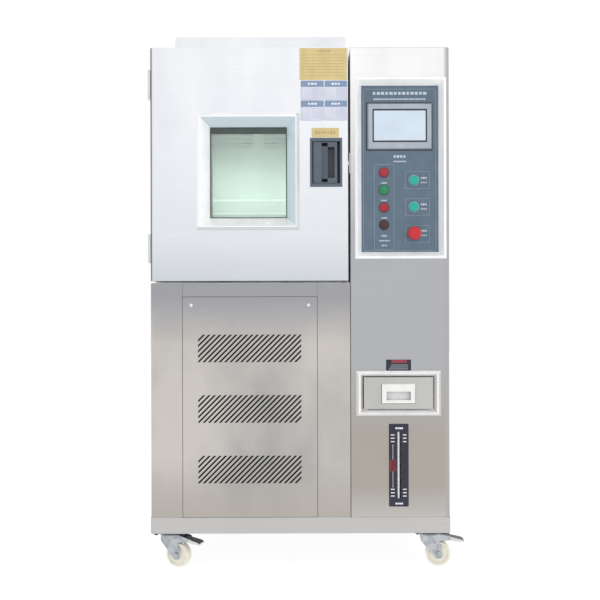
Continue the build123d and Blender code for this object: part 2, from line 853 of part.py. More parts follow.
# Hermetic compressor on rubber feet
compressor_cx = body_left + compressor_x
foot_h = 12
foot_r = 15
saddle_t = 4
saddle_w = 240
saddle_d = 190
shoulder_share = 0.55
dome_bottom = base_top + foot_h + saddle_t
with BuildPart() as compressor:
    with BuildSketch(Plane.XZ.offset(-compressor_y)):
        with BuildLine():
            dome_top = dome_bottom + compressor_h
            seam_z = dome_bottom + compressor_h / 2
            shoulder = compressor_r * shoulder_share
            Polyline(
                (compressor_cx, dome_top),
                (compressor_cx, dome_bottom),
                (compressor_cx + shoulder, dome_bottom),
                (compressor_cx + compressor_r, dome_bottom + compressor_r - shoulder),
                (compressor_cx + compressor_r, seam_z),
                (compressor_cx + compressor_r + saddle_t, seam_z),
                (compressor_cx + compressor_r + saddle_t, seam_z + foot_h),
                (compressor_cx + compressor_r, seam_z + foot_h),
                (compressor_cx + compressor_r, dome_top - compressor_r + shoulder),
                (compressor_cx + shoulder, dome_top),
                close=True,
            )
        make_face()
    revolve(axis=Axis((compressor_cx, compressor_y, 0), (0, 0, 1)))
    saddle_z = (base_top + foot_h, dome_bottom)
    block(around(compressor_cx, saddle_w), around(compressor_y, saddle_d), saddle_z)
    for dx in (-1, 1):
        for dy in (-1, 1):
            foot_x = compressor_cx + dx * (saddle_w / 2 - foot_r)
            foot_y = compressor_y + dy * (saddle_d / 2 - foot_r)
            rod((foot_x, foot_y, base_top), (foot_x, foot_y, saddle_z[0]), foot_r)
    box_w = 60
    box_y = (compressor_y - compressor_r - foot_h, compressor_y)
    block(around(compressor_cx, box_w), box_y, around(seam_z - box_w, box_w))
save(compressor, "compressor")

# Mounting plate with contactors, breakers and terminals behind the control panel
plate_setback = 210
plate_y = body_front + plate_setback
plate_z = (640, 1500)
din_rail_h = 35
din_rail_d = 8
device_counts = (5, 8, 3, 12)
device_sizes = ((45, 80, 70), (18, 85, 65), (60, 90, 75), (16, 60, 45))
device_levels = (1380, 1180, 980, 780)
with BuildPart() as electrical_plate:
    block((column_left, body_right - sheet), (plate_y, plate_y + sheet), plate_z)
    plate_cx = (column_left + body_right - sheet) / 2
    for row_z, count, (width, height, depth) in zip(device_levels, device_counts, device_sizes):
        row_w = count * (width + sheet)
        block(around(plate_cx, row_w + width), (plate_y - din_rail_d, plate_y), around(row_z, din_rail_h))
        for i in range(count):
            device_x = plate_cx - row_w / 2 + (i + 0.5) * (width + sheet)
            block(around(device_x, width), (plate_y - depth, plate_y - din_rail_d), around(row_z, height))
save(electrical_plate, "electrical_plate")

# Control panel: bevelled frame, recessed plate and what is fitted in it
hmi_face = body_front + hmi_recess
hmi_angle = degrees(atan(hmi_inset / (hmi_recess + hmi_proud)))
with BuildPart() as control_frame:
    with BuildSketch(front(body_front)):
        with Locations((hmi_centre_x, hmi_z)):
            Rectangle(hmi_w, hmi_h)
    extrude(amount=hmi_proud, taper=degrees(atan(hmi_bevel / hmi_proud)))
    with BuildSketch(front(body_front)):
        with Locations((hmi_centre_x, hmi_z)):
            Rectangle(hmi_open_w - 2 * contact_gap, hmi_open_h - 2 * contact_gap)
    extrude(amount=-hmi_recess, taper=hmi_angle)
    with BuildSketch(front(body_front - hmi_proud)):
        with Locations((hmi_centre_x, hmi_z)):
            Rectangle(panel_w + 2 * hmi_inset, panel_h + 2 * hmi_inset)
    extrude(amount=-hmi_recess - hmi_proud, taper=hmi_angle, mode=Mode.SUBTRACT)
save(control_frame, "control_frame")

screen_z = hmi_z + screen_above
lamp_places = [(hmi_centre_x + lamp_x, hmi_z + lamp_top - i * lamp_pitch) for i in range(lamp_count)]
button_levels = [hmi_z + button_top - i * button_pitch for i in range(button_count)]
button_places = [(hmi_centre_x + button_x, z) for z in button_levels]
with BuildPart() as control_panel:
    with BuildSketch(front(hmi_face)):
        with Locations((hmi_centre_x, hmi_z)):
            Rectangle(panel_w + hmi_wall, panel_h + hmi_wall)
        with Locations((hmi_centre_x, screen_z)):
            Rectangle(screen_w - 2 * screen_t, screen_h - 2 * screen_t, mode=Mode.SUBTRACT)
        with Locations(*lamp_places):
            Circle(lamp_lens_r, mode=Mode.SUBTRACT)
        with Locations(*button_places):
            Circle(barrel_r + barrel_gap, mode=Mode.SUBTRACT)
    extrude(amount=-panel_t)
save(control_panel, "control_panel")

with BuildPart() as touch_screen:
    with BuildSketch(front(hmi_face)):
        with Locations((hmi_centre_x, screen_z)):
            Rectangle(screen_w, screen_h)
    extrude(amount=screen_t, taper=screen_slope)
    with BuildSketch(front(hmi_face - screen_t)):
        with Locations((hmi_centre_x, screen_z + display_rise)):
            Rectangle(display_w, display_h)
    extrude(amount=-display_d, taper=screen_slope, mode=Mode.SUBTRACT)
    with BuildSketch(front(hmi_face)):
        with Locations((hmi_centre_x, screen_z)):
            Rectangle(screen_w - 2 * screen_t - contact_gap, screen_h - 2 * screen_t - contact_gap)
    extrude(amount=-screen_body_d)
save(touch_screen, "touch_screen")

# Four lamps and the three collars that the buttons slide in
bore_r = button_r + button_gap
with BuildPart() as panel_fittings:
    for x, z in lamp_places:
        rod((x, hmi_face - lamp_flange_t, z), (x, hmi_face, z), lamp_flange_r)
        rod((x, hmi_face, z), (x, hmi_face + barrel_d, z), lamp_lens_r - contact_gap)
        with BuildSketch(front(hmi_face - lamp_flange_t)):
            with Locations((x, z)):
                Circle(lamp_lens_r)
        extrude(amount=lamp_lens_h - lamp_flange_t, taper=lamp_lens_slope)
    for x, z in button_places:
        rod((x, hmi_face - collar_t, z), (x, hmi_face, z), collar_r)
        rod((x, hmi_face, z), (x, hmi_face + barrel_d, z), barrel_r)
        rod((x, hmi_face - collar_t, z), (x, hmi_face + barrel_d - sheet, z), bore_r, Mode.SUBTRACT)
save(panel_fittings, "panel_fittings")


def flat_button(x, z):
    with BuildPart() as button:
        rod((x, hmi_face - button_rise, z), (x, hmi_face + button_depth, z), button_r)
        chamfer(button.edges().group_by(Axis.Y)[0], sheet)
    return button


power_button = flat_button(*button_places[0])
save(power_button, "power_button")

run_button = flat_button(*button_places[1])
save(run_button, "run_button")

stop_x, stop_z = button_places[2]
with BuildPart() as stop_button:
    rod((stop_x, hmi_face - mushroom_rise, stop_z), (stop_x, hmi_face + button_depth, stop_z), button_r)
    with BuildSketch(front(hmi_face - mushroom_rise)):
        with Locations((stop_x, stop_z)):
            Circle(mushroom_r - sheet)
    extrude(amount=mushroom_t / 3, taper=mushroom_slopes[0])
    with BuildSketch(front(hmi_face - mushroom_rise - mushroom_t / 3)):
        with Locations((stop_x, stop_z)):
            Circle(mushroom_r)
    extrude(amount=mushroom_t * 2 / 3, taper=mushroom_slopes[1])
save(stop_button, "stop_button")

# Drawer frame: bevelled surround, a tunnel and the runners behind it
drawer_angle = degrees(atan(drawer_inset / drawer_slope_d))
drawer_bottom = drawer_z - drawer_h / 2 + drawer_gap
runner_back = body_front + drawer_setback + drawer_front_t + drawer_l
with BuildPart() as drawer_frame:
    with BuildSketch(front(body_front)):
        with Locations((drawer_centre_x, drawer_z)):
            Rectangle(drawer_frame_w, drawer_frame_h)
    extrude(amount=drawer_proud, taper=bevel_slope)
    with BuildSketch(front(body_front)):
        with Locations((drawer_centre_x, drawer_z)):
            Rectangle(drawer_open_w - 2 * contact_gap, drawer_open_h - 2 * contact_gap)
    extrude(amount=drawer_proud - drawer_slope_d, taper=drawer_angle)
    with BuildSketch(front(body_front)):
        with Locations((drawer_centre_x, drawer_z)):
            Rectangle(drawer_w + 2 * tunnel_wall, drawer_h + 2 * tunnel_wall)
    extrude(amount=-drawer_tunnel_d)
    with BuildSketch(front(body_front - drawer_proud)):
        with Locations((drawer_centre_x, drawer_z)):
            Rectangle(drawer_open_w, drawer_open_h)
    extrude(amount=-drawer_slope_d, taper=drawer_angle, mode=Mode.SUBTRACT)
    tunnel_x = around(drawer_centre_x, drawer_w)
    tunnel_z = around(drawer_z, drawer_h)
    block(tunnel_x, (body_front, body_front + drawer_tunnel_d), tunnel_z, Mode.SUBTRACT)
    runner_y = (body_front + drawer_slope_d - drawer_proud, runner_back)
    ledge_z = (tunnel_z[0], drawer_bottom - runner_gap)
    block((tunnel_x[0], tunnel_x[0] + runner_w), runner_y, ledge_z)
    block((tunnel_x[1] - runner_w, tunnel_x[1]), runner_y, ledge_z)
    wall_z = (tunnel_z[0], tunnel_z[0] + runner_h)
    wall_y = (body_front + drawer_tunnel_d - sheet, runner_back)
    block((tunnel_x[0] - tunnel_wall, tunnel_x[0]), wall_y, wall_z)
    block((tunnel_x[1], tunnel_x[1] + tunnel_wall), wall_y, wall_z)
save(drawer_frame, "drawer_frame")

# Water drawer and its recessed pull
drawer_face = body_front + drawer_setback
drawer_back = drawer_face + drawer_front_t + drawer_l
drawer_top = drawer_z + drawer_h / 2 - drawer_gap
pull_z = drawer_z - pull_drop
recess_z = around(pull_z - pull_recess_drop, pull_recess_h)
recess_x = around(drawer_centre_x, pull_recess_w)
cup_x = (recess_x[0] - pull_wall, recess_x[1] + pull_wall)
cup_z = (recess_z[0] - pull_wall, recess_z[1] + pull_wall)
with BuildPart() as water_drawer:
    face_y = (drawer_face, drawer_face + drawer_front_t)
    block(around(drawer_centre_x, drawer_w - 2 * drawer_gap), face_y, (drawer_bottom, drawer_top))
    tray_x = around(drawer_centre_x, drawer_w - 2 * drawer_side_gap)
    tray_top = drawer_top - drawer_side_gap
    block(tray_x, (face_y[1], drawer_back), (drawer_bottom, tray_top))
    tray_hollow_x = (tray_x[0] + sheet, tray_x[1] - sheet)
    tray_hollow_y = (face_y[1], drawer_back - sheet)
    block(tray_hollow_x, tray_hollow_y, (drawer_bottom + sheet, tray_top), Mode.SUBTRACT)
    block(cup_x, (drawer_face, drawer_face + pull_recess_d), cup_z, Mode.SUBTRACT)
save(water_drawer, "water_drawer")

with BuildPart() as drawer_pull:
    pull_face = drawer_face - pull_t
    with BuildSketch(front(drawer_face)):
        with Locations((drawer_centre_x, pull_z)):
            Rectangle(pull_w, pull_h)
    extrude(amount=pull_t, taper=pull_slope)
    block(cup_x, (drawer_face, drawer_face + pull_recess_d), cup_z)
    cup_y = (pull_face, drawer_face + pull_recess_d - pull_wall)
    block(recess_x, cup_y, recess_z, Mode.SUBTRACT)
save(drawer_pull, "drawer_pull")

# Level gauge: slotted plate, glass tube and the tank with its two elbows
with BuildPart() as gauge_plate:
    with BuildSketch(front(body_front)):
        with Locations((drawer_centre_x, gauge_z)):
            RectangleRounded(gauge_w, gauge_h, bend_r)
            SlotOverall(gauge_slot_h, gauge_slot_w, rotation=90, mode=Mode.SUBTRACT)
    extrude(amount=gauge_t)
save(gauge_plate, "gauge_plate")

tube_y = body_front + tube_setback
tube_z = around(gauge_z, tube_l)
with BuildPart() as sight_tube:
    rod((drawer_centre_x, tube_y, tube_z[0]), (drawer_centre_x, tube_y, tube_z[1]), tube_r)
    tube_ends = [(drawer_centre_x, tube_y, z) for z in tube_z]
    rod(*tube_ends, tube_r - tube_wall, Mode.SUBTRACT)
save(sight_tube, "sight_tube")

tank_y = (body_front + tank_setback, body_front + tank_setback + tank_d)
tank_x = around(drawer_centre_x, tank_w)
tank_z = (base_top, base_top + tank_h)
with BuildPart() as water_tank:
    block(tank_x, tank_y, tank_z)
    block(
        (tank_x[0] + tank_wall, tank_x[1] - tank_wall),
        (tank_y[0] + tank_wall, tank_y[1] - tank_wall),
        (tank_z[0] + tank_wall, tank_z[1]),
        Mode.SUBTRACT,
    )
    for z in (tube_z[0] - elbow_h / 2, tube_z[1] + elbow_h / 2):
        block(around(drawer_centre_x, elbow_w), around(tube_y, elbow_w), around(z, elbow_h))
        rod((drawer_centre_x, tube_y, z), (drawer_centre_x, tank_y[0] + tank_wall, z), tube_r)
save(water_tank, "water_tank")

# Drain spout and cable gland on the back
spout_z = base_top + spout_above_base
gland_z = base_top + gland_above_base
with BuildPart() as rear_fittings:
    spout_cx = body_left + spout_x
    rod((spout_cx, body_back, spout_z), (spout_cx, body_back + sheet, spout_z), spout_flange_r)
    rod((spout_cx, body_back, spout_z), (spout_cx, body_back + spout_l, spout_z), spout_r)
    gland_cx = body_left + gland_x
    with BuildSketch(front(body_back)):
        with Locations((gland_cx, gland_z)):
            RegularPolygon(gland_r, 6)
    extrude(amount=-spout_r)
    rod((gland_cx, body_back, gland_z), (gland_cx, body_back + 2 * spout_r, gland_z), gland_neck_r)
save(rear_fittings, "rear_fittings")

# Door: folded outer shell with window, handle and latch openings
window_cx = body_left + window_x
window_cz = door_bottom + window_z
handle_cx = body_left + handle_x
handle_cz = door_bottom + handle_z
bolt_y = body_front + 20
bolt_hole = bolt_w + 2 * bolt_guide_gap
ridge_outer_w = window_w - 2 * ridge_h
ridge_outer_h = window_h - 2 * ridge_h
funnel_angle = degrees(atan(funnel_inset / (ridge_h + glass_depth)))
funnel_at_face = ridge_h * funnel_inset / (ridge_h + glass_depth)
funnel_w = ridge_outer_w - 2 * ridge_w
funnel_h = ridge_outer_h - 2 * ridge_w
door_open_w = funnel_w - 2 * funnel_at_face + 2 * frame_wall
door_open_h = funnel_h - 2 * funnel_at_face + 2 * frame_wall
sight_w = funnel_w - 2 * funnel_inset
sight_h = funnel_h - 2 * funnel_inset
tunnel_w = sight_w + 2 * pane_overlap
tunnel_h = sight_h + 2 * pane_overlap
with BuildPart() as door_shell:
    with BuildSketch(level(door_bottom)) as door_plan:
        with Locations((cavity_x, (body_front + door_back) / 2)):
            Rectangle(door_w, door_t)
        fillet(door_plan.vertices().group_by(Axis.Y)[0].sort_by(Axis.X)[0], door_corner)
        fillet(door_plan.vertices().group_by(Axis.Y)[0].sort_by(Axis.X)[-1], bend_r)
    extrude(amount=door_h)
    offset(amount=-thin_sheet, openings=door_shell.faces().sort_by(Axis.Y)[-1])
    with BuildSketch(front(body_front)):
        with Locations((window_cx, window_cz)):
            Rectangle(door_open_w, door_open_h)
        with Locations((handle_cx, handle_cz)):
            Rectangle(tray_w + 2 * tray_wall, tray_h + 2 * tray_wall)
    extrude(amount=-thin_sheet, mode=Mode.SUBTRACT)
    edge_x = (door_right - thin_sheet, door_right)
    block(edge_x, around(bolt_y, bolt_hole), around(handle_cz, bolt_hole), Mode.SUBTRACT)
save(door_shell, "door_shell")

# Inner door panel: back plate, the plug that enters the chamber and the window's tunnel
plug_x = (cavity_left + plug_clearance, cavity_right - plug_clearance)
plug_z = (cavity_floor + plug_clearance, cavity_roof - plug_clearance)
pane_back = body_front + glass_depth + pane_t
door_inner_x = (body_left + thin_sheet, door_right - thin_sheet)
door_inner_z = (door_bottom + thin_sheet, door_top - thin_sheet)
window_tunnel = (around(window_cx, tunnel_w), around(window_cz, tunnel_h))
with BuildPart() as door_inner_panel:
    block(door_inner_x, (door_back - thin_sheet, door_back), door_inner_z)
    block(plug_x, (door_back - thin_sheet, plug_face), plug_z)
    plug_hollow_x = (plug_x[0] + thin_sheet, plug_x[1] - thin_sheet)
    plug_hollow_z = (plug_z[0] + thin_sheet, plug_z[1] - thin_sheet)
    block(plug_hollow_x, (door_back - thin_sheet, plug_face - thin_sheet), plug_hollow_z, Mode.SUBTRACT)
    block(window_tunnel[0], (pane_back, plug_face), window_tunnel[1])
    tunnel_hollow_x = around(window_cx, tunnel_w - 2 * thin_sheet)
    tunnel_hollow_z = around(window_cz, tunnel_h - 2 * thin_sheet)
    block(tunnel_hollow_x, (pane_back, plug_face), tunnel_hollow_z, Mode.SUBTRACT)
save(door_inner_panel, "door_inner_panel")

with BuildPart() as window_frame:
    with BuildSketch(front(body_front)):
        with Locations((window_cx, window_cz)):
            Rectangle(window_w, window_h)
    extrude(amount=ridge_h, taper=bevel_slope)
    with BuildSketch(front(body_front)):
        with Locations((window_cx, window_cz)):
            Rectangle(door_open_w - 2 * contact_gap, door_open_h - 2 * contact_gap)
    extrude(amount=-glass_depth, taper=funnel_angle)
    with BuildSketch(front(body_front - ridge_h)):
        with Locations((window_cx, window_cz)):
            Rectangle(funnel_w, funnel_h)
    extrude(amount=-ridge_h - glass_depth, taper=funnel_angle, mode=Mode.SUBTRACT)
save(window_frame, "window_frame")

with BuildPart() as window_glass:
    block(window_tunnel[0], (body_front + glass_depth, pane_back), window_tunnel[1])
    block(tunnel_hollow_x, (plug_face - pane_t, plug_face), tunnel_hollow_z)
save(window_glass, "window_glass")

# Foam that fills the door round the window and the handle
with BuildPart() as door_insulation:
    with BuildSketch(level(door_inner_z[0])) as foam_plan:
        foam_y = (body_front + thin_sheet, door_back - thin_sheet)
        foam_size = (door_inner_x[1] - door_inner_x[0], foam_y[1] - foam_y[0])
        with Locations((cavity_x, (foam_y[0] + foam_y[1]) / 2)):
            Rectangle(*foam_size)
        fillet(foam_plan.vertices().group_by(Axis.Y)[0], door_corner)
    extrude(amount=door_inner_z[1] - door_inner_z[0])
    block(plug_hollow_x, (foam_y[1], plug_face - thin_sheet), plug_hollow_z)
    block(window_tunnel[0], (pane_back, plug_face), window_tunnel[1], Mode.SUBTRACT)
    frame_pocket = (around(window_cx, door_open_w), around(window_cz, door_open_h))
    block(frame_pocket[0], (body_front, pane_back), frame_pocket[1], Mode.SUBTRACT)
    pocket_x = (handle_cx - tray_w / 2 - tray_wall, door_right)
    pocket_z = around(handle_cz, tray_h + 2 * tray_wall)
    pocket_y = (body_front, body_front + tray_d + tray_wall)
    block(pocket_x, pocket_y, pocket_z, Mode.SUBTRACT)
save(door_insulation, "door_insulation")

with BuildPart() as door_gasket:
    gasket_inner = gasket_offset + gasket_w
    gasket_y = (door_back, jamb - contact_gap)
    seal_x = (plug_x[0] - gasket_inner, plug_x[1] + gasket_inner)
    seal_z = (plug_z[0] - gasket_inner, plug_z[1] + gasket_inner)
    block(seal_x, gasket_y, seal_z)
    chamfer(door_gasket.edges().group_by(Axis.Y)[-1], bend_r)
    hole_x = (plug_x[0] - gasket_offset, plug_x[1] + gasket_offset)
    hole_z = (plug_z[0] - gasket_offset, plug_z[1] + gasket_offset)
    block(hole_x, gasket_y, hole_z, Mode.SUBTRACT)
save(door_gasket, "door_gasket")

# Handle: tray let into the door, with the lever's pin and the guide of the bolt
tray_back = body_front + tray_d
rim_front = body_front - rim_t
pivot_x = handle_cx - tray_w / 2 + lever_pivot_x
lever_front = rim_front + lever_setback + rim_t
lever_back = lever_front + lever_t
pivot_y = lever_back + rim_t
tray_z = around(handle_cz, tray_h)
guide_outer = bolt_hole + 2 * bolt_guide_wall
with BuildPart() as handle_housing:
    block(around(handle_cx, handle_w), (rim_front, body_front), around(handle_cz, handle_h))
    chamfer(handle_housing.edges().group_by(Axis.Y)[0], rim_t / 2)
    tray_outer_x = around(handle_cx, tray_w + 2 * tray_wall - contact_gap)
    tray_outer_z = around(handle_cz, tray_h + 2 * tray_wall - contact_gap)
    block(tray_outer_x, (body_front, tray_back + tray_wall), tray_outer_z)
    guide_x = (handle_cx + tray_w / 2, door_right - thin_sheet)
    block(guide_x, around(bolt_y, guide_outer), around(handle_cz, guide_outer))
    block(around(handle_cx, tray_w), (rim_front, tray_back), tray_z, Mode.SUBTRACT)
    block(guide_x, around(bolt_y, bolt_hole), around(handle_cz, bolt_hole), Mode.SUBTRACT)
    rod((pivot_x, pivot_y, tray_z[0]), (pivot_x, pivot_y, tray_z[1]), lever_pivot_r)
save(handle_housing, "handle_housing")

# Lever: plate with a finger cup, a pressed channel and two notches
lever_x = (handle_cx - tray_w / 2 + lever_left_gap, handle_cx + tray_w / 2 - lever_right_gap)
lever_z = (tray_z[0] + lever_end_gap, tray_z[1] - lever_end_gap)
grip_x = (lever_x[1] - grip_lip - grip_w, lever_x[1] - grip_lip)
grip_z = around(handle_cz, grip_h)
channel_x = (grip_x[0] - channel_w, grip_x[0])
with BuildPart() as handle_lever:
    block(lever_x, (lever_front, lever_back), lever_z)
    fillet(handle_lever.edges().filter_by(Axis.Z).group_by(Axis.X)[0].sort_by(Axis.Y)[0], lever_barrel_r)
    rod((pivot_x, pivot_y, lever_z[0]), (pivot_x, pivot_y, lever_z[1]), lever_barrel_r)
    cup_wall_x = (grip_x[0] - sheet, grip_x[1] + sheet)
    cup_wall_z = (grip_z[0] - sheet, grip_z[1] + sheet)
    block(cup_wall_x, (lever_back, lever_front + grip_d + sheet), cup_wall_z)
    channel_z = (lever_z[0] + channel_d, lever_z[1] - channel_d)
    block(channel_x, (lever_front, lever_front + channel_d), channel_z, Mode.SUBTRACT)
    block(grip_x, (lever_front, lever_front + grip_d), grip_z, Mode.SUBTRACT)
    for z in ((channel_z[0], channel_z[0] + notch_h), (channel_z[1] - notch_h, channel_z[1])):
        block((channel_x[0], channel_x[1] - sheet), (lever_front, lever_back), z, Mode.SUBTRACT)
    pin_bore_r = lever_pivot_r + running_fit
    rod((pivot_x, pivot_y, lever_z[0]), (pivot_x, pivot_y, lever_z[1]), pin_bore_r, Mode.SUBTRACT)
save(handle_lever, "handle_lever")

with BuildPart() as latch_bolt:
    bolt_x = (door_right + bolt_reach - bolt_l, door_right + bolt_reach)
    block(bolt_x, around(bolt_y, bolt_w), around(handle_cz, bolt_w))
    chamfer(latch_bolt.edges().filter_by(Axis.Z).group_by(Axis.X)[-1], sheet)
save(latch_bolt, "latch_bolt")

with BuildPart() as latch_keeper:
    keeper_x = (column_left - keeper_t, column_left)
    block(keeper_x, around(bolt_y + bolt_w, keeper_w + bolt_w), around(handle_cz, keeper_h))
    block(keeper_x, around(bolt_y, bolt_hole), around(handle_cz, bolt_hole), Mode.SUBTRACT)
save(latch_keeper, "latch_keeper")

# Hinges: the cabinet's leaves carry the pins, the door's leaves the middle knuckles
hinge_x = body_left - hinge_r
hinge_y = (door_back + jamb) / 2
leaf_x = (body_left - hinge_leaf_t, body_left)
hinge_centres = [door_bottom + hinge_low, door_bottom + hinge_low + hinge_spacing]
knuckle = hinge_h / 3
leaf_start = hinge_y + hinge_r + hinge_leaf_gap


def knuckle_rod(z0, z1, radius, mode=Mode.ADD):
    rod((hinge_x, hinge_y, z0), (hinge_x, hinge_y, z1), radius, mode)


with BuildPart() as cabinet_hinges:
    for z in hinge_centres:
        for z0 in (z - hinge_h / 2, z + knuckle / 2):
            knuckle_rod(z0, z0 + knuckle, hinge_r)
            block(leaf_x, (hinge_y, leaf_start), (z0, z0 + knuckle))
        block(leaf_x, (leaf_start, leaf_start + hinge_leaf_l), around(z, hinge_h))
        knuckle_rod(z - hinge_h / 2, z + hinge_h / 2, hinge_pin_r)
save(cabinet_hinges, "cabinet_hinges")

with BuildPart() as door_hinges:
    for z in hinge_centres:
        z0 = z - knuckle / 2 + hinge_gap
        z1 = z + knuckle / 2 - hinge_gap
        knuckle_rod(z0, z1, hinge_r)
        block(leaf_x, (door_back - hinge_leaf_t, hinge_y), (z0, z1))
        leaf_y = (door_back - hinge_leaf_l, door_back - hinge_leaf_t)
        block(leaf_x, leaf_y, around(z, hinge_h))
        knuckle_rod(z0, z1, hinge_pin_r + running_fit, Mode.SUBTRACT)
save(door_hinges, "door_hinges")

# Casters: each is drawn at the origin, trailing along +X, and set under its plate
fork_y = (fork_inner / 2, fork_inner / 2 + fork_wall)
skirt_top = crown_top
skirt_reach = 62
skirt_x = (-crown_r, skirt_reach)
skirt_drop = 9
skirt_h = 12
skirt_deep = 24
with BuildPart() as fork_shape:
    for y in (-fork_y[1], fork_y[0]):
        leg_plane = front(y + fork_wall)
        with BuildSketch(leg_plane):
            with BuildLine():
                Polyline(
                    (skirt_x[0], skirt_top),
                    (crown_r, skirt_top),
                    (skirt_x[1], skirt_top - skirt_drop),
                    (skirt_x[1] - sheet, skirt_top - skirt_drop - skirt_h),
                    (crown_r, skirt_top - skirt_deep),
                    (skirt_x[0], skirt_top - skirt_deep),
                    close=True,
                )
            make_face()
        extrude(amount=fork_wall)
        with BuildSketch(leg_plane):
            with Locations((caster_trail, wheel_r)):
                Circle(fork_tip_r)
            with Locations((0, skirt_top - skirt_deep + sheet)):
                Rectangle(2 * crown_r, 2 * sheet)
            make_hull()
        extrude(amount=fork_wall)
    block((skirt_x[0], crown_r - crown_lap), (-fork_y[1], fork_y[1]), (crown_bottom, crown_top))
    rod((0, 0, crown_bottom), (0, 0, crown_top), crown_r)
    rod((0, 0, crown_bottom), (0, 0, crown_top), kingpin_r + running_fit, Mode.SUBTRACT)
    axle_half = fork_y[1] + axle_head_h
    rod((caster_trail, -axle_half, wheel_r), (caster_trail, -fork_y[1], wheel_r), axle_head_r)
    rod((caster_trail, fork_y[1], wheel_r), (caster_trail, axle_half, wheel_r), axle_head_r)
    rod((caster_trail, -fork_y[1], wheel_r), (caster_trail, fork_y[1], wheel_r), axle_r)

pivot_z = caster_h - pedal_pivot_drop
pin_start = (pedal_pivot_x, -fork_y[1], pivot_z)
pin_end = (pedal_pivot_x, fork_y[1], pivot_z)
with BuildPart() as braked_fork_shape:
    add(fork_shape.part)
    rod(pin_start, pin_end, pedal_pin_r)

with BuildPart() as wheel_shape:
    with BuildSketch(Plane.XY):
        with BuildLine():
            half_w = wheel_w / 2
            Polyline(
                (axle_r + running_fit, -hub_w / 2),
                (hub_r, -hub_w / 2),
                (hub_r, -half_w + web_recess),
                (wheel_r - rim_w, -half_w + web_recess),
                (wheel_r - rim_w, -half_w),
                (wheel_r - wheel_chamfer, -half_w),
                (wheel_r, -half_w + wheel_chamfer),
                (wheel_r, half_w - wheel_chamfer),
                (wheel_r - wheel_chamfer, half_w),
                (wheel_r - rim_w, half_w),
                (wheel_r - rim_w, half_w - web_recess),
                (hub_r, half_w - web_recess),
                (hub_r, hub_w / 2),
                (axle_r + running_fit, hub_w / 2),
                close=True,
            )
        make_face()
    revolve(axis=Axis.Y)

# Brake pedal: an arm on the fork's pin with a pad above the tread, and a flanged tip
pedal_start = (pedal_pivot_x, pivot_z + pedal_t + pedal_pin_r)
pedal_knee = (skirt_reach + pedal_knee_gap, pivot_z - pedal_knee_drop)
pedal_tip = (pedal_reach, caster_h - pedal_tip_drop)
pad_place = (pedal_pivot_x + pad_x, pivot_z - pad_drop)
with BuildPart() as pedal_shape:
    with BuildSketch(front(pedal_w / 2)):
        with BuildLine():
            Polyline(
                pedal_start,
                pedal_knee,
                (pedal_knee[0], pedal_knee[1] - pedal_t),
                (pedal_start[0], pedal_start[1] - pedal_t),
                close=True,
            )
        make_face()
    extrude(amount=pedal_w)
    with BuildSketch(front(pedal_tip_w / 2)):
        with BuildLine():
            Polyline(
                pedal_knee,
                pedal_tip,
                (pedal_tip[0], pedal_tip[1] - pedal_flange),
                (pedal_knee[0], pedal_knee[1] - pedal_flange),
                close=True,
            )
        make_face()
    extrude(amount=pedal_tip_w)
    with BuildSketch(front(pedal_tip_w / 2 - pedal_t)):
        with BuildLine():
            Polyline(
                (pedal_knee[0], pedal_knee[1] - pedal_t),
                (pedal_tip[0] - pedal_t, pedal_tip[1] - pedal_t),
                (pedal_tip[0] - pedal_t, pedal_tip[1] - pedal_flange),
                (pedal_knee[0], pedal_knee[1] - pedal_flange),
                close=True,
            )
        make_face()
    extrude(amount=pedal_tip_w - 2 * pedal_t, mode=Mode.SUBTRACT)
    for y in (-pedal_w / 2 + pedal_t, pedal_w / 2):
        with BuildSketch(front(y)):
            with Locations((pedal_pivot_x, pivot_z)):
                Circle(pedal_pin_r + pedal_t)
            with Locations(pad_place):
                Circle(pad_r)
            with Locations((pedal_start[0] + pedal_t, pedal_start[1] - pedal_t)):
                Rectangle(pedal_t, pedal_t)
            make_hull()
        extrude(amount=pedal_t)
    rod((pad_place[0], -pedal_w / 2, pad_place[1]), (pad_place[0], pedal_w / 2, pad_place[1]), pad_r)
    pin_bore = pedal_pin_r + running_fit
    rod(pin_start, pin_end, pin_bore, Mode.SUBTRACT)


def under_plate(x, y, yaw):
    return Location((x, y, 0), (0, 0, yaw))


for name, (x, y, yaw) in casters.items():
    braked = name.startswith("front")
    with BuildPart() as fork:
        with Locations(under_plate(x, y, yaw)):
            add(braked_fork_shape.part if braked else fork_shape.part)
    save(fork, f"{name}_fork")
    wheel_place = under_plate(x, y, yaw) * Location((caster_trail, 0, wheel_r))
    with BuildPart() as wheel:
        with Locations(wheel_place):
            add(wheel_shape.part)
    save(wheel, f"{name}_wheel")
    if braked:
        with BuildPart() as pedal:
            with Locations(under_plate(x, y, yaw)):
                add(pedal_shape.part)
        save(pedal, f"{name}_brake")
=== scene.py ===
import math

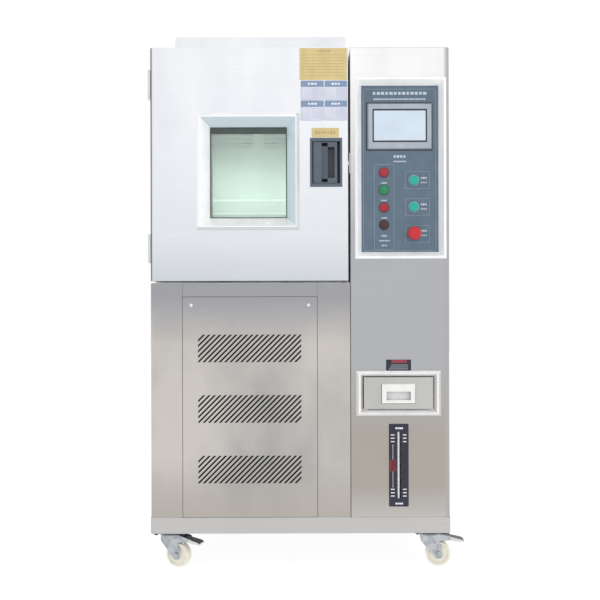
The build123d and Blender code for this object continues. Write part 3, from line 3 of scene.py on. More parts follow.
import bmesh
import bpy
import numpy as np
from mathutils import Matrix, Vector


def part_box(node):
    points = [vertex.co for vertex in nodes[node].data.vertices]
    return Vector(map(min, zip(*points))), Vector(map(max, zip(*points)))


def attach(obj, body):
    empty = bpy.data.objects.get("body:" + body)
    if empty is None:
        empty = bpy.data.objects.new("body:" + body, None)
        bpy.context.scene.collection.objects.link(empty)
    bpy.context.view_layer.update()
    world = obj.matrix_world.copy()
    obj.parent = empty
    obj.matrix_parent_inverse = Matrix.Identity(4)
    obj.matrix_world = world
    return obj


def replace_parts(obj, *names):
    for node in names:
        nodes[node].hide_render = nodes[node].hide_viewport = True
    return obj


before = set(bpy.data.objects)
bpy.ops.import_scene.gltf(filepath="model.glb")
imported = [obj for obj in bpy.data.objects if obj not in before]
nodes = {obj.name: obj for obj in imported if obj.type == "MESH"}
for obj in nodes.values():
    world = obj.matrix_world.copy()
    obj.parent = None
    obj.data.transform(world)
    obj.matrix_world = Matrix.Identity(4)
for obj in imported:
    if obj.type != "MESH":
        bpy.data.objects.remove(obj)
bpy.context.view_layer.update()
mm = 0.001

# Camera, world, lights and floor
cameraView = {
    "place": (-0.0191, -2.758, 0.811),
    "lens": 45.92,
    "roll": 0.15,  # degrees
}
studio = {
    "skyColour": (1.0, 1.0, 1.0),
    "skyStrength": 1.0,
    "softboxes": {  # place, aim, size, power
        "top_light": ((0, -0.4, 3.6), (0, 0, 1.0), (3.2, 2.4), 5.0),
        "front_light": ((0.2, -4.2, 2.5), (0, 0, 1.2), (3.6, 1.9), 6.5),
        "right_light": ((3.2, -1.4, 1.6), (0, 0, 0.9), (1.8, 2.6), 6.0),
        "left_light": ((-3.2, -1.2, 1.5), (0, 0, 0.9), (1.6, 2.4), 2.5),
        "back_light": ((0, 3.4, 2.2), (0, 0, 0.9), (3.0, 2.0), 4.0),
        "cavity_light": ((-0.171, -0.335, 1.2), (-0.171, 0.05, 1.2), (0.4, 0.34), 0.9),
    },
    "floorColour": (0.96, 0.96, 0.96),
    "floorShade": 0.2,
    "floorGlow": 0.92,
    "floorHalf": 9.0,
}


def placeCamera(view):
    data = bpy.data.cameras.new("studio_camera")
    data.lens = view["lens"]
    data.sensor_width = 36
    data.clip_end = 60
    camera = bpy.data.objects.new("studio_camera", data)
    camera.location = view["place"]
    camera.rotation_euler = (math.radians(90), math.radians(view["roll"]), 0)
    bpy.context.scene.collection.objects.link(camera)
    bpy.context.scene.camera = camera


# Area light at place, turned so that its -Z axis points at aim
def softbox(name, place, aim, size, power):
    data = bpy.data.lights.new(name, "AREA")
    data.shape = "RECTANGLE"
    data.size, data.size_y = size
    data.energy = power
    lamp = bpy.data.objects.new(name, data)
    lamp.location = place
    away = np.array(place, float) - np.array(aim, float)
    flat = math.hypot(away[0], away[1])
    lamp.rotation_euler = (math.atan2(flat, away[2]), 0, math.atan2(away[1], away[0]) + math.pi / 2)
    lamp.visible_camera = False
    bpy.context.scene.collection.objects.link(lamp)


def lightStudio(values):
    for name, box in values["softboxes"].items():
        softbox(name, *box)
    world = bpy.data.worlds.new("studio_world")
    world.use_nodes = True
    sky = world.node_tree.nodes["Background"]
    sky.inputs["Color"].default_value = (*values["skyColour"], 1)
    sky.inputs["Strength"].default_value = values["skyStrength"]
    bpy.context.scene.world = world
    bpy.context.scene.view_settings.view_transform = "Standard"


# Materials: every pattern is laid out on Object coordinates
def startMaterial(name):
    material = bpy.data.materials.new(name)
    material.use_nodes = True
    tree = material.node_tree
    return material, tree, tree.nodes["Principled BSDF"]


def addNode(tree, kind, sockets=None, **settings):
    node = tree.nodes.new(kind)
    for key, value in settings.items():
        setattr(node, key, value)
    for key, value in (sockets or {}).items():
        node.inputs[key].default_value = value
    return node


# Noise in the object's own metres, its grain scaled by one number for each axis
def noiseOf(tree, scale, detail=3.0, roughness=0.5, offset=(0, 0, 0)):
    place = addNode(tree, "ShaderNodeTexCoord")
    mapping = addNode(tree, "ShaderNodeMapping", {"Scale": scale, "Location": offset})
    noise = addNode(tree, "ShaderNodeTexNoise", {"Scale": 1.0, "Detail": detail, "Roughness": roughness})
    tree.links.new(place.outputs["Object"], mapping.inputs["Vector"])
    tree.links.new(mapping.outputs["Vector"], noise.inputs["Vector"])
    return noise.outputs["Fac"]


def cellsOf(tree, scale):
    place = addNode(tree, "ShaderNodeTexCoord")
    cells = addNode(tree, "ShaderNodeTexVoronoi", {"Scale": scale})
    tree.links.new(place.outputs["Object"], cells.inputs["Vector"])
    return cells


# The value from low to high, stretched to start and end
def mapped(tree, value, low, high, start=0.0, end=1.0):
    sockets = {"From Min": low, "From Max": high, "To Min": start, "To Max": end}
    node = addNode(tree, "ShaderNodeMapRange", sockets)
    tree.links.new(value, node.inputs["Value"])
    return node.outputs["Result"]


def mathOf(tree, operation, first, second):
    node = addNode(tree, "ShaderNodeMath", operation=operation)
    for socket, value in zip(node.inputs, (first, second)):
        if isinstance(value, (int, float)):
            socket.default_value = value
        else:
            tree.links.new(value, socket)
    return node.outputs["Value"]


# Colour that goes from first to second with fac; each is a colour or a colour socket
def blended(tree, fac, first, second):
    node = addNode(tree, "ShaderNodeMix", data_type="RGBA")
    tree.links.new(fac, node.inputs["Factor"])
    for label, value in (("A", first), ("B", second)):
        socket = [s for s in node.inputs if s.name == label and s.type == "RGBA"][0]
        if isinstance(value, tuple):
            socket.default_value = (*value, 1)
        else:
            tree.links.new(value, socket)
    return [s for s in node.outputs if s.type == "RGBA"][0]


def bumped(tree, height, strength, distance, under=None):
    node = addNode(tree, "ShaderNodeBump", {"Strength": strength, "Distance": distance})
    tree.links.new(height, node.inputs["Height"])
    if under is not None:
        tree.links.new(under, node.inputs["Normal"])
    return node.outputs["Normal"]


# One part of the object's own place in metres (Object) or of its own surface normal from -1 to 1 (Normal)
def ownPart(tree, output, axis):
    place = addNode(tree, "ShaderNodeTexCoord")
    parts = addNode(tree, "ShaderNodeSeparateXYZ")
    tree.links.new(place.outputs[output], parts.inputs["Vector"])
    return parts.outputs[axis]


# The tone, changed step by step with the own place or normal: each step is (axis, begin, full, colour)
def graded(tree, tone, output, steps):
    for axis, begin, full, colour in steps:
        tone = blended(tree, mapped(tree, ownPart(tree, output, axis), begin, full), tone, colour)
    return tone


def connect(tree, shader, colour, roughness, normal):
    for socket, value in (("Base Color", colour), ("Roughness", roughness), ("Normal", normal)):
        tree.links.new(value, shader.inputs[socket])


# Brushed sheet: lines along X (along Y on side faces), soft upright clouds, smudges and a slight waviness.
# steps grade the tone by place, as in graded.
def brushedSteel(name, light, dark, roughness, grain=0.35, wave=0.5, cloud=(7.0, 7.0, 1.8), steps=()):
    material, tree, shader = startMaterial(name)
    across = noiseOf(tree, (3.0, 900.0, 900.0), 4.0, 0.7)
    along = noiseOf(tree, (900.0, 3.0, 900.0), 4.0, 0.7)
    lines = addNode(tree, "ShaderNodeMix")
    onSide = mathOf(tree, "GREATER_THAN", mathOf(tree, "ABSOLUTE", ownPart(tree, "Normal", "X"), 0.0), 0.7)
    tree.links.new(onSide, lines.inputs["Factor"])
    tree.links.new(across, lines.inputs["A"])
    tree.links.new(along, lines.inputs["B"])
    lineValue = lines.outputs["Result"]
    clouds = mapped(tree, noiseOf(tree, cloud, 3.0, 0.55), 0.32, 0.68)
    smudges = mapped(tree, noiseOf(tree, (24.0, 24.0, 16.0), 5.0, 0.62, (3, 1, 7)), 0.5, 0.8)
    tone = graded(tree, blended(tree, clouds, dark, light), "Object", steps)
    fine = mapped(tree, lineValue, 0.3, 0.7, 1.0 - grain * 0.35, 1.0 + grain * 0.15)
    shaded = addNode(tree, "ShaderNodeVectorMath", operation="SCALE")
    tree.links.new(tone, shaded.inputs[0])
    tree.links.new(fine, shaded.inputs["Scale"])
    base = mapped(tree, clouds, 0.0, 1.0, roughness[1], roughness[0])
    scratched = mathOf(tree, "MULTIPLY", mapped(tree, lineValue, 0.3, 0.7, -0.5, 0.5), 0.12 * grain)
    smudged = mathOf(tree, "MULTIPLY", smudges, 0.09)
    rough = mathOf(tree, "ADD", mathOf(tree, "ADD", base, scratched), smudged)
    shader.inputs["Metallic"].default_value = 1.0
    rolling = bumped(tree, noiseOf(tree, (2.6, 2.6, 3.4), 2.0, 0.4, (5, 2, 1)), wave, 0.012)
    normal = bumped(tree, lineValue, grain * 0.5, 0.0002, rolling)
    connect(tree, shader, shaded.outputs["Vector"], rough, normal)
    return material


# Polished sheet with faint rubbing marks and dull patches; turns and steps change its tone by face and place
def polishedSteel(name, colour, roughness, dull=0.08, metallic=1.0, turns=(), steps=()):
    material, tree, shader = startMaterial(name)
    patches = noiseOf(tree, (18.0, 18.0, 18.0), 4.0, 0.6)
    rubs = noiseOf(tree, (160.0, 160.0, 12.0), 3.0, 0.6)
    shade = tuple(0.9 * part for part in colour)
    tone = blended(tree, mapped(tree, patches, 0.35, 0.65), shade, colour)
    tone = graded(tree, graded(tree, tone, "Normal", turns), "Object", steps)
    spread = mathOf(tree, "MULTIPLY", mapped(tree, patches, 0.35, 0.7), dull)
    shader.inputs["Metallic"].default_value = metallic
    rolling = bumped(tree, noiseOf(tree, (14.0, 14.0, 14.0), 2.0, 0.4), 0.25, 0.002)
    rough = mathOf(tree, "ADD", spread, roughness)
    connect(tree, shader, tone, rough, bumped(tree, rubs, 0.12, 0.0001, rolling))
    return material


# Zinc coat: patchy grey crystals with a dull shine and fine pits
def platedSteel(name, colour, roughness, spangle, turns=(), steps=()):
    material, tree, shader = startMaterial(name)
    cells = cellsOf(tree, spangle)
    parts = addNode(tree, "ShaderNodeSeparateXYZ")
    tree.links.new(cells.outputs["Color"], parts.inputs["Vector"])
    patches = noiseOf(tree, (60.0, 60.0, 60.0), 4.0, 0.6)
    crystals = mathOf(tree, "MULTIPLY", parts.outputs["X"], 0.5)
    both = mathOf(tree, "ADD", crystals, mathOf(tree, "MULTIPLY", patches, 0.5))
    shade = tuple(0.7 * part for part in colour)
    tone = blended(tree, mapped(tree, both, 0.25, 0.75), shade, colour)
    tone = graded(tree, graded(tree, tone, "Normal", turns), "Object", steps)
    rough = mapped(tree, both, 0.2, 0.8, roughness + 0.12, roughness - 0.05)
    shader.inputs["Metallic"].default_value = 0.9
    pits = noiseOf(tree, (420.0, 420.0, 420.0), 2.0)
    connect(tree, shader, tone, rough, bumped(tree, pits, 0.15, 0.0003))
    return material


# Powder coat, print or moulded plastic: a fine pebbled skin, light wear and uneven tone
def texturedPaint(name, colour, roughness, pebble=900.0, bump=0.1, coat=0.0, turns=(), steps=()):
    material, tree, shader = startMaterial(name)
    skin = noiseOf(tree, (pebble, pebble, pebble), 2.0, 0.5)
    wear = mapped(tree, noiseOf(tree, (30.0, 30.0, 30.0), 5.0, 0.65), 0.42, 0.75)
    pale = tuple(min(1.0, part * 1.14 + 0.01) for part in colour)
    tone = graded(tree, blended(tree, wear, colour, pale), "Normal", turns)
    tone = graded(tree, tone, "Object", steps)
    rough = mapped(tree, wear, 0.0, 1.0, roughness, roughness + 0.1)
    connect(tree, shader, tone, rough, bumped(tree, skin, bump, 0.0003))
    shader.inputs["Coat Weight"].default_value = coat
    return material


# Pressed pedal: paint on what faces up, and bare rubbed metal on the turned-down edges
def paintedOnTop(name, paint, metal):
    material, tree, shader = startMaterial(name)
    worn = noiseOf(tree, (90.0, 90.0, 90.0), 4.0, 0.6)
    upward = mathOf(tree, "ADD", ownPart(tree, "Normal", "Z"), mathOf(tree, "MULTIPLY", worn, 0.3))
    painted = mapped(tree, upward, 0.62, 0.72)
    tree.links.new(mapped(tree, painted, 0.0, 1.0, 0.95, 0.0), shader.inputs["Metallic"])
    pits = noiseOf(tree, (500.0, 500.0, 500.0), 2.0)
    tone, rough = blended(tree, painted, metal, paint), mapped(tree, worn, 0.3, 0.7, 0.32, 0.46)
    connect(tree, shader, tone, rough, bumped(tree, pits, 0.2, 0.0003))
    return material


# Thin clear glass: see-through with a little tint and haze and a clean shine
def clearPane(name, tint, roughness, clearness):
    material, tree, shader = startMaterial(name)
    streaks = mapped(tree, noiseOf(tree, (9.0, 9.0, 4.0), 4.0, 0.6), 0.35, 0.75)
    pale = tuple(min(1.0, part * 1.03) for part in tint)
    tree.links.new(blended(tree, streaks, tint, pale), shader.inputs["Base Color"])
    tree.links.new(mapped(tree, streaks, 0.0, 1.0, roughness, roughness + 0.03), shader.inputs["Roughness"])
    shader.inputs["Transmission Weight"].default_value = clearness
    shader.inputs["IOR"].default_value = 1.45
    return material


# Cut foam: open cells with darker pits
def foamCore(name, colour):
    material, tree, shader = startMaterial(name)
    cells = cellsOf(tree, 420.0)
    shade = tuple(0.72 * part for part in colour)
    fac = mapped(tree, cells.outputs["Distance"], 0.05, 0.6)
    tree.links.new(blended(tree, fac, shade, colour), shader.inputs["Base Color"])
    shader.inputs["Roughness"].default_value = 0.95
    tree.links.new(bumped(tree, cells.outputs["Distance"], 0.6, 0.001), shader.inputs["Normal"])
    return material


# Lit display or lens: a soft uneven glow under a satin cover
def glowing(name, colour, strength, low=0.9, roughness=0.25):
    material, tree, shader = startMaterial(name)
    glow = mapped(tree, noiseOf(tree, (9.0, 9.0, 14.0), 2.0, 0.4), 0.3, 0.7)
    lit = blended(tree, glow, tuple(low * part for part in colour), colour)
    tree.links.new(lit, shader.inputs["Base Color"])
    tree.links.new(lit, shader.inputs["Emission Color"])
    shader.inputs["Emission Strength"].default_value = strength
    shader.inputs["Roughness"].default_value = roughness
    return material


finishes = {
    # door steel: painted shade, lighter at the top and darker towards the bottom, and a painted dark strip
    # along the door's rounded left edge
    "doorSteel": brushedSteel(
        "door_steel", (0.80, 0.81, 0.84), (0.74, 0.76, 0.79), (0.34, 0.42), 0.16,
        steps=[("Z", 1.50, 1.05, (0.72, 0.745, 0.775)), ("Z", 1.0, 0.87, (0.60, 0.63, 0.67)),
               ("X", -0.4622, -0.464, (0.22, 0.208, 0.19))],
    ),
    # column steel: painted shade, pale at the top, darker and warmer downwards, lighter again at the foot,
    # with a painted dark strip along its right edge
    "columnSteel": brushedSteel(
        "column_steel", (0.85, 0.85, 0.85), (0.78, 0.78, 0.785), (0.34, 0.42), 0.2,
        steps=[("Z", 1.50, 1.02, (0.43, 0.435, 0.45)), ("Z", 0.62, 0.40, (0.40, 0.37, 0.335)),
               ("Z", 0.25, 0.16, (0.50, 0.485, 0.47)), ("X", 0.412, 0.424, (0.42, 0.41, 0.41)),
               ("Z", 0.165, 0.150, (0.52, 0.51, 0.49))],
    ),
    # drawer steel: a darker copy of the door's steel, painted shade of the lower front
    "drawerSteel": brushedSteel("drawer_steel", (0.56, 0.555, 0.54), (0.50, 0.495, 0.48), (0.34, 0.42), 0.2),
    # lower steel: a darker, warmer copy of the door's steel as painted shade of the lower front, with a
    # painted darker band at the fascia's top, a lighter base frame below 0.158 m and painted shadow, near
    # black, under the base below 0.109 m
    "lowerSteel": brushedSteel(
        "lower_steel", (0.565, 0.535, 0.50), (0.37, 0.365, 0.365), (0.33, 0.44), 0.16, 0.6, (3.6, 3.6, 2.2),
        [("Z", 0.68, 0.82, (0.345, 0.345, 0.37)), ("Z", 0.34, 0.16, (0.44, 0.41, 0.375)),
         ("Z", 0.160, 0.157, (0.53, 0.52, 0.51)), ("Z", 0.1105, 0.109, (0.07, 0.075, 0.085))],
    ),
    # side steel: painted shade, darker and warmer towards the bottom
    "sideSteel": brushedSteel(
        "side_steel", (0.60, 0.59, 0.575), (0.45, 0.445, 0.44), (0.33, 0.44), 0.18, 0.6, (3.0, 3.0, 1.7),
        [("Z", 0.45, 0.16, (0.47, 0.45, 0.42))],
    ),
    "roofSteel": brushedSteel("roof_steel", (0.66, 0.66, 0.655), (0.56, 0.56, 0.56), (0.34, 0.42), 0.2),
    "linerSteel": brushedSteel("liner_steel", (0.80, 0.82, 0.81), (0.70, 0.72, 0.71), (0.28, 0.36), 0.2, 0.3),
    # window trim: painted reflection by face, blue-grey on faces turned down and on faces turned left, and
    # painted shade by place, darker on the frame's right and bottom sides and a little darker on its left
    "windowTrim": polishedSteel(
        "window_trim", (0.97, 0.975, 0.975), 0.2, 0.08, 0.35,
        turns=[("Z", -0.25, -0.5, (0.55, 0.64, 0.69)), ("X", -0.25, -0.5, (0.60, 0.71, 0.76))],
        steps=[("X", -0.3195, -0.3205, (0.90, 0.91, 0.91)), ("X", -0.0295, -0.0285, (0.62, 0.66, 0.68)),
               ("Z", 1.0305, 1.0295, (0.60, 0.635, 0.655))],
    ),
    # panel trim: painted shade, greyer on faces turned left
    "panelTrim": polishedSteel(
        "panel_trim", (0.96, 0.975, 0.975), 0.3, 0.08, 0.1, turns=[("X", -0.25, -0.5, (0.82, 0.83, 0.84))]
    ),
    # drawer trim: painted shade, darker on faces turned left and right
    "drawerTrim": polishedSteel(
        "drawer_trim", (0.88, 0.88, 0.88), 0.27, 0.08, 0.2,
        turns=[("X", -0.25, -0.5, (0.62, 0.61, 0.59)), ("X", 0.25, 0.5, (0.64, 0.625, 0.60))],
    ),
    "chrome": polishedSteel("chrome_ring", (0.80, 0.81, 0.82), 0.12),
    "wireSteel": polishedSteel("wire_steel", (0.78, 0.79, 0.80), 0.16),
    # zinc: painted light and shade by face, darker on faces turned up, near black on faces turned down, light
    # on faces turned right and dark on faces turned left, with painted shadow at the tops of the forks under
    # the base
    "zinc": platedSteel(
        "zinc_plate", (0.50, 0.53, 0.56), 0.24, 60.0,
        turns=[("Z", 0.2, 0.8, (0.30, 0.33, 0.37)), ("Z", -0.2, -0.8, (0.06, 0.065, 0.075)),
               ("X", 0.4, 0.9, (0.80, 0.82, 0.84)), ("X", -0.3, -0.8, (0.17, 0.19, 0.22))],
        steps=[("Z", 0.094, 0.101, (0.13, 0.15, 0.175))],
    ),
    # caster races and bolt heads under the base, painted near black as painted shade
    "shadedZinc": platedSteel("shaded_zinc", (0.09, 0.10, 0.115), 0.35, 60.0),
    "galvanised": platedSteel("galvanised_sheet", (0.50, 0.52, 0.53), 0.38, 28.0),
    # condenser fins painted near black as painted shade, so the louvre slots read dark
    "slotShadeFins": platedSteel("slot_shade_fins", (0.10, 0.10, 0.10), 0.5, 80.0),
    # slate cast: painted shade, darker deeper into the handle's pocket, past y -0.451 m
    "slateCast": texturedPaint(
        "slate_cast", (0.078, 0.104, 0.135), 0.42, 500.0, 0.35,
        steps=[("Y", -0.4555, -0.451, (0.035, 0.045, 0.058))],
    ),
    "pedal": paintedOnTop("pedal_paint", (0.045, 0.055, 0.07), (0.66, 0.66, 0.65)),
    # cream nylon: painted shade, darker on faces turned down
    "nylon": texturedPaint(
        "cream_nylon", (0.76, 0.735, 0.635), 0.32, 260.0, 0.12, turns=[("Z", -0.5, -0.95, (0.42, 0.41, 0.38))]
    ),
    # white plastic of the drawer pull: painted shade, near black on faces turned left, right and down inside
    # its recess
    "whitePlastic": texturedPaint(
        "white_plastic", (0.78, 0.78, 0.77), 0.36, 900.0, 0.1,
        turns=[("X", -0.4, -0.7, (0.12, 0.12, 0.13)), ("X", 0.4, 0.7, (0.12, 0.12, 0.13)),
               ("Z", -0.4, -0.7, (0.10, 0.10, 0.11))],
    ),
    "foam": foamCore("panel_foam", (0.80, 0.76, 0.62)),
    "finSheet": brushedSteel("fin_sheet", (0.74, 0.75, 0.77), (0.62, 0.63, 0.66), (0.3, 0.4), 0.3, 0.2),
    "windowGlass": clearPane("window_glass", (0.84, 0.95, 0.89), 0.02, 0.8),
    "display": glowing("lit_display", (0.56, 0.645, 0.74), 0.14),
    "coverSteel": polishedSteel("plain_steel", (0.66, 0.67, 0.68), 0.3),
}
paints = {  # colour, roughness, pebbles to the metre, bump, coat
    "slatePaint": ((0.092, 0.140, 0.192), 0.46, 700.0, 0.25),
    "sealRubber": ((0.035, 0.036, 0.038), 0.75, 300.0, 0.3),
    # tone of the window's spacer and bead, and of the painted shadow bar along the top of the window
    "spacerAndShadeTone": ((0.045, 0.065, 0.062), 0.5, 300.0, 0.2),
    "blackIron": ((0.022, 0.023, 0.026), 0.5, 400.0, 0.35),
    "bezel": ((0.36, 0.41, 0.47), 0.42, 900.0, 0.15),
    "tubeGlass": ((0.90, 0.91, 0.94), 0.2, 500.0, 0.04, 0.5),
    "navy": ((0.011, 0.010, 0.030), 0.45, 700.0, 0.1),
    "printPale": ((0.50, 0.56, 0.62), 0.5),
    "printLine": ((0.30, 0.365, 0.43), 0.5),
    # dark border of the display, and round the screen a ring that is partly gasket and partly painted shadow
    # of the screen
    "darkBorderAndShade": ((0.02, 0.022, 0.03), 0.4),
    "lampRed": ((0.34, 0.008, 0.02), 0.2, 200.0, 0.04),
    "lampGreen": ((0.004, 0.20, 0.07), 0.2, 200.0, 0.04),
    "lampMaroon": ((0.045, 0.006, 0.012), 0.2, 200.0, 0.04),
    "capGreen": ((0.002, 0.36, 0.29), 0.3, 500.0, 0.08),
    "capRed": ((0.52, 0.008, 0.02), 0.28, 500.0, 0.08),
    "plateYellow": ((0.60, 0.48, 0.22), 0.5, 900.0, 0.08),
    "plateLavender": ((0.60, 0.62, 0.72), 0.5, 900.0, 0.08),
    "plateBlue": ((0.20, 0.28, 0.42), 0.5, 900.0, 0.08),
    "plateOchre": ((0.44, 0.345, 0.16), 0.5, 900.0, 0.08),
    "plateLines": ((0.36, 0.40, 0.49), 0.5, 900.0, 0.08),
    "plateRed": ((0.28, 0.03, 0.05), 0.45, 900.0, 0.08),
    "gaugeWhite": ((0.80, 0.80, 0.82), 0.45, 900.0, 0.08),
    "gaugeRed": ((0.15, 0.008, 0.02), 0.45, 900.0, 0.08),
    # near black: painted shade in the gap round the access panel and along the fascia's seams
    "gapShadeTone": ((0.11, 0.105, 0.11), 0.6, 300.0, 0.1),
    # near-black sheet behind the slots: painted shade
    "slotShadeTone": ((0.012, 0.012, 0.013), 0.9, 300.0, 0.5),
    "lampRing": ((0.045, 0.05, 0.06), 0.3, 500.0, 0.08, 0.3),
}
finishes.update({name: texturedPaint(name, *values) for name, values in paints.items()})

corners = ("front_left", "front_right", "rear_left", "rear_right")
nodeFinishes = {
    "doorSteel": ["door_shell", "motor_cover"],
    "columnSteel": ["column_front"],
    "roofSteel": ["top_panel"],
    "drawerSteel": ["water_drawer"],
    "lowerSteel": ["lower_fascia", "access_panel", "base_frame"],
    "sideSteel": ["left_side_panel", "right_side_panel", "back_panel", "cabinet_hinges", "door_hinges"],
    "linerSteel": ["chamber_liner", "air_baffle", "door_inner_panel", "port_sleeve", "water_tank",
                   "heater_coil"],
    "windowTrim": ["window_frame"],
    "panelTrim": ["control_frame"],
    "drawerTrim": ["drawer_frame"],
    "wireSteel": ["wire_shelves", "latch_bolt", "latch_keeper"],
    "zinc": [f"{corner}_fork" for corner in corners],
    "galvanised": ["divider_panel", "chamber_deck", "electrical_plate", "condenser_fan", "rear_fittings"],
    "slatePaint": ["control_panel"],
    "slateCast": ["handle_housing", "handle_lever"],
    "sealRubber": ["door_gasket"],
    "blackIron": ["compressor", "blower_motor", "panel_fittings"],
    "nylon": [f"{corner}_wheel" for corner in corners],
    "capGreen": ["power_button", "run_button"],
    "capRed": ["stop_button"],
    "bezel": ["touch_screen"],
    "whitePlastic": ["drawer_pull"],
    "foam": ["chamber_insulation", "door_insulation"],
    "finSheet": ["evaporator", "blower_impeller"],
    "slotShadeFins": ["condenser"],
    "windowGlass": ["window_glass"],
    "tubeGlass": ["sight_tube"],
    "navy": ["gauge_plate"],
}


def dressNodes(table):
    for finish, names in table.items():
        for name in names:
            mesh = nodes[name].data
            if not mesh.materials:
                mesh.materials.append(None)
            for i in range(len(mesh.materials)):
                mesh.materials[i] = finishes[finish]


# Surfaces: every new piece is a set of point grids in millimetres, laid on one face of the object
faceAxes = {  # right, up and outwards of each face
    "front": ((1, 0, 0), (0, 0, 1), (0, -1, 0)),
    "back": ((-1, 0, 0), (0, 0, 1), (0, 1, 0)),
    "left": ((0, -1, 0), (0, 0, 1), (-1, 0, 0)),
    "top": ((1, 0, 0), (0, 1, 0), (0, 0, 1)),
    "under": ((1, 0, 0), (0, -1, 0), (0, 0, -1)),
}


# Point = origin + u right + v up + w outwards, brought to metres
def pointsOn(face, origin, u, v, w):
    axes = faceAxes[face] if isinstance(face, str) else face
    right, up, out = (np.array(axis, float) for axis in axes)
    return mm * (np.array(origin, float) + u[..., None] * right + v[..., None] * up + w[..., None] * out)


# Rounded rectangle: four quarter circles of the corner's radius about (+-(w/2 - r), +-(h/2 - r))
def roundedOutline(width, height, corner, count=4):
    quarter = np.linspace(0, math.pi / 2, count)
    turn = np.concatenate([quarter + i * math.pi / 2 for i in range(4)])
    sideU = np.repeat([1, -1, -1, 1], count)
    sideV = np.repeat([1, 1, -1, -1], count)
    u = sideU * (width / 2 - corner) + corner * np.cos(turn)
    v = sideV * (height / 2 - corner) + corner * np.sin(turn)
    return u, v


# Slab: the outline shrunk to a point, then inset at the front, full at the side and shrunk again at the back
def slabGrid(face, origin, size, thick, corner=0.4, count=3):
    edge = 0.35 * min(thick, corner)
    rimU, rimV = roundedOutline(size[0], size[1], corner, count)
    topU, topV = roundedOutline(size[0] - 2 * edge, size[1] - 2 * edge, corner - edge, count)
    none = 0 * rimU
    u = np.stack([none, topU, rimU, rimU, none])
    v = np.stack([none, topV, rimV, rimV, none])
    w = np.array([thick, thick, thick - edge, 0, 0])[:, None] + none
    return pointsOn(face, origin, u, v, w), False, True


# Frame: a closed section carried from the outer outline to the inner one, each (width, height, corner)
def frameGrid(face, origin, outer, inner, thick, count=5):
    outU, outV = roundedOutline(*outer, count)
    inU, inV = roundedOutline(*inner, count)
    u = np.stack([outU, outU, inU, inU])
    v = np.stack([outV, outV, inV, inV])
    w = np.array([0, thick, thick, 0])[:, None] + 0 * outU
    return pointsOn(face, origin, u, v, w), True, True


# Turned form: each (radius, height) of the profile swept round the outward axis
def turnedGrid(face, origin, profile, columns=40, closed=False):
    radius, height = np.array(profile, float).T[:, :, None]
    turn = np.linspace(0, 2 * math.pi, columns, endpoint=False)[None, :]
    u, v = radius * np.cos(turn), radius * np.sin(turn)
    return pointsOn(face, origin, u, v, height + 0 * turn), closed, True


# Screw head: a low dome turned round its axis, with a recess whose radius swells four times in a turn
def screwGrid(face, origin, radius, height, columns=24):
    turn = np.linspace(0, 2 * math.pi, columns, endpoint=False)
    lobes = 0.2 + 0.32 * np.abs(np.cos(2 * turn)) ** 3
    share = np.stack([0 * turn, 0.8 * lobes, lobes] + [0 * turn + s for s in (0.72, 0.92, 1.0, 1.0, 0.0)])
    rise = np.array([0.35, 0.4, 0.97, 0.92, 0.62, 0.25, 0, 0])[:, None]
    u, v = radius * share * np.cos(turn), radius * share * np.sin(turn)
    return pointsOn(face, origin, u, v, height * rise + 0 * u), False, True


# Row of small plain blocks between two edges, their widths varied by a sine
def blockRow(face, origin, left, right, low, high, count, thick=0.25):
    pitch = (right - left) / count
    grids = []
    for i in range(count):
        width = pitch * (0.7 + 0.14 * math.sin(2.4 * i + left))
        centre = left + (i + 0.5) * pitch
        place = shifted(face, origin, centre, (low + high) / 2)
        grids.append(slabGrid(face, place, (width, high - low), thick, 0.3))
    return grids


# The origin moved right and up within its face
def shifted(face, origin, u, v, w=0.0):
    right, up, out = (np.array(axis, float) for axis in faceAxes[face])
    return np.array(origin, float) + u * right + v * up + w * out


# Quads between neighbouring points of a grid; a wrapped side joins its last line to its first
def gridFaces(rows, columns, wrapRows, wrapColumns, first):
    rowCount = rows if wrapRows else rows - 1
    columnCount = columns if wrapColumns else columns - 1
    i, j = np.meshgrid(np.arange(rowCount), np.arange(columnCount), indexing="ij")
    a = i * columns + j
    b = i * columns + (j + 1) % columns
    c = ((i + 1) % rows) * columns + (j + 1) % columns
    d = ((i + 1) % rows) * columns + j
    return np.stack([a, b, c, d], axis=-1).reshape(-1, 4) + first


# One mesh from several grids, with doubled points merged, the faces turned outwards and sharp folds kept
def newPiece(name, grids, finish, body):
    points, faces, first = [], [], 0
    for grid, wrapRows, wrapColumns in grids:
        rows, columns = grid.shape[:2]
        points.append(grid.reshape(-1, 3))
        faces.append(gridFaces(rows, columns, wrapRows, wrapColumns, first))
        first += rows * columns
    mesh = bpy.data.meshes.new(name)
    mesh.from_pydata(np.concatenate(points).tolist(), [], np.concatenate(faces).tolist())
    work = bmesh.new()
    work.from_mesh(mesh)
    bmesh.ops.remove_doubles(work, verts=work.verts, dist=1e-7)
    bmesh.ops.dissolve_degenerate(work, edges=work.edges, dist=1e-8)
    bmesh.ops.recalc_face_normals(work, faces=work.faces)
    work.to_mesh(mesh)
    work.free()
    mesh.polygons.foreach_set("use_smooth", np.full(len(mesh.polygons), True))
    mesh.set_sharp_from_angle(angle=math.radians(32))
    mesh.materials.append(finishes[finish])
    piece = bpy.data.objects.new(name, mesh)
    bpy.context.scene.collection.objects.link(piece)
    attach(piece, body)
    return piece


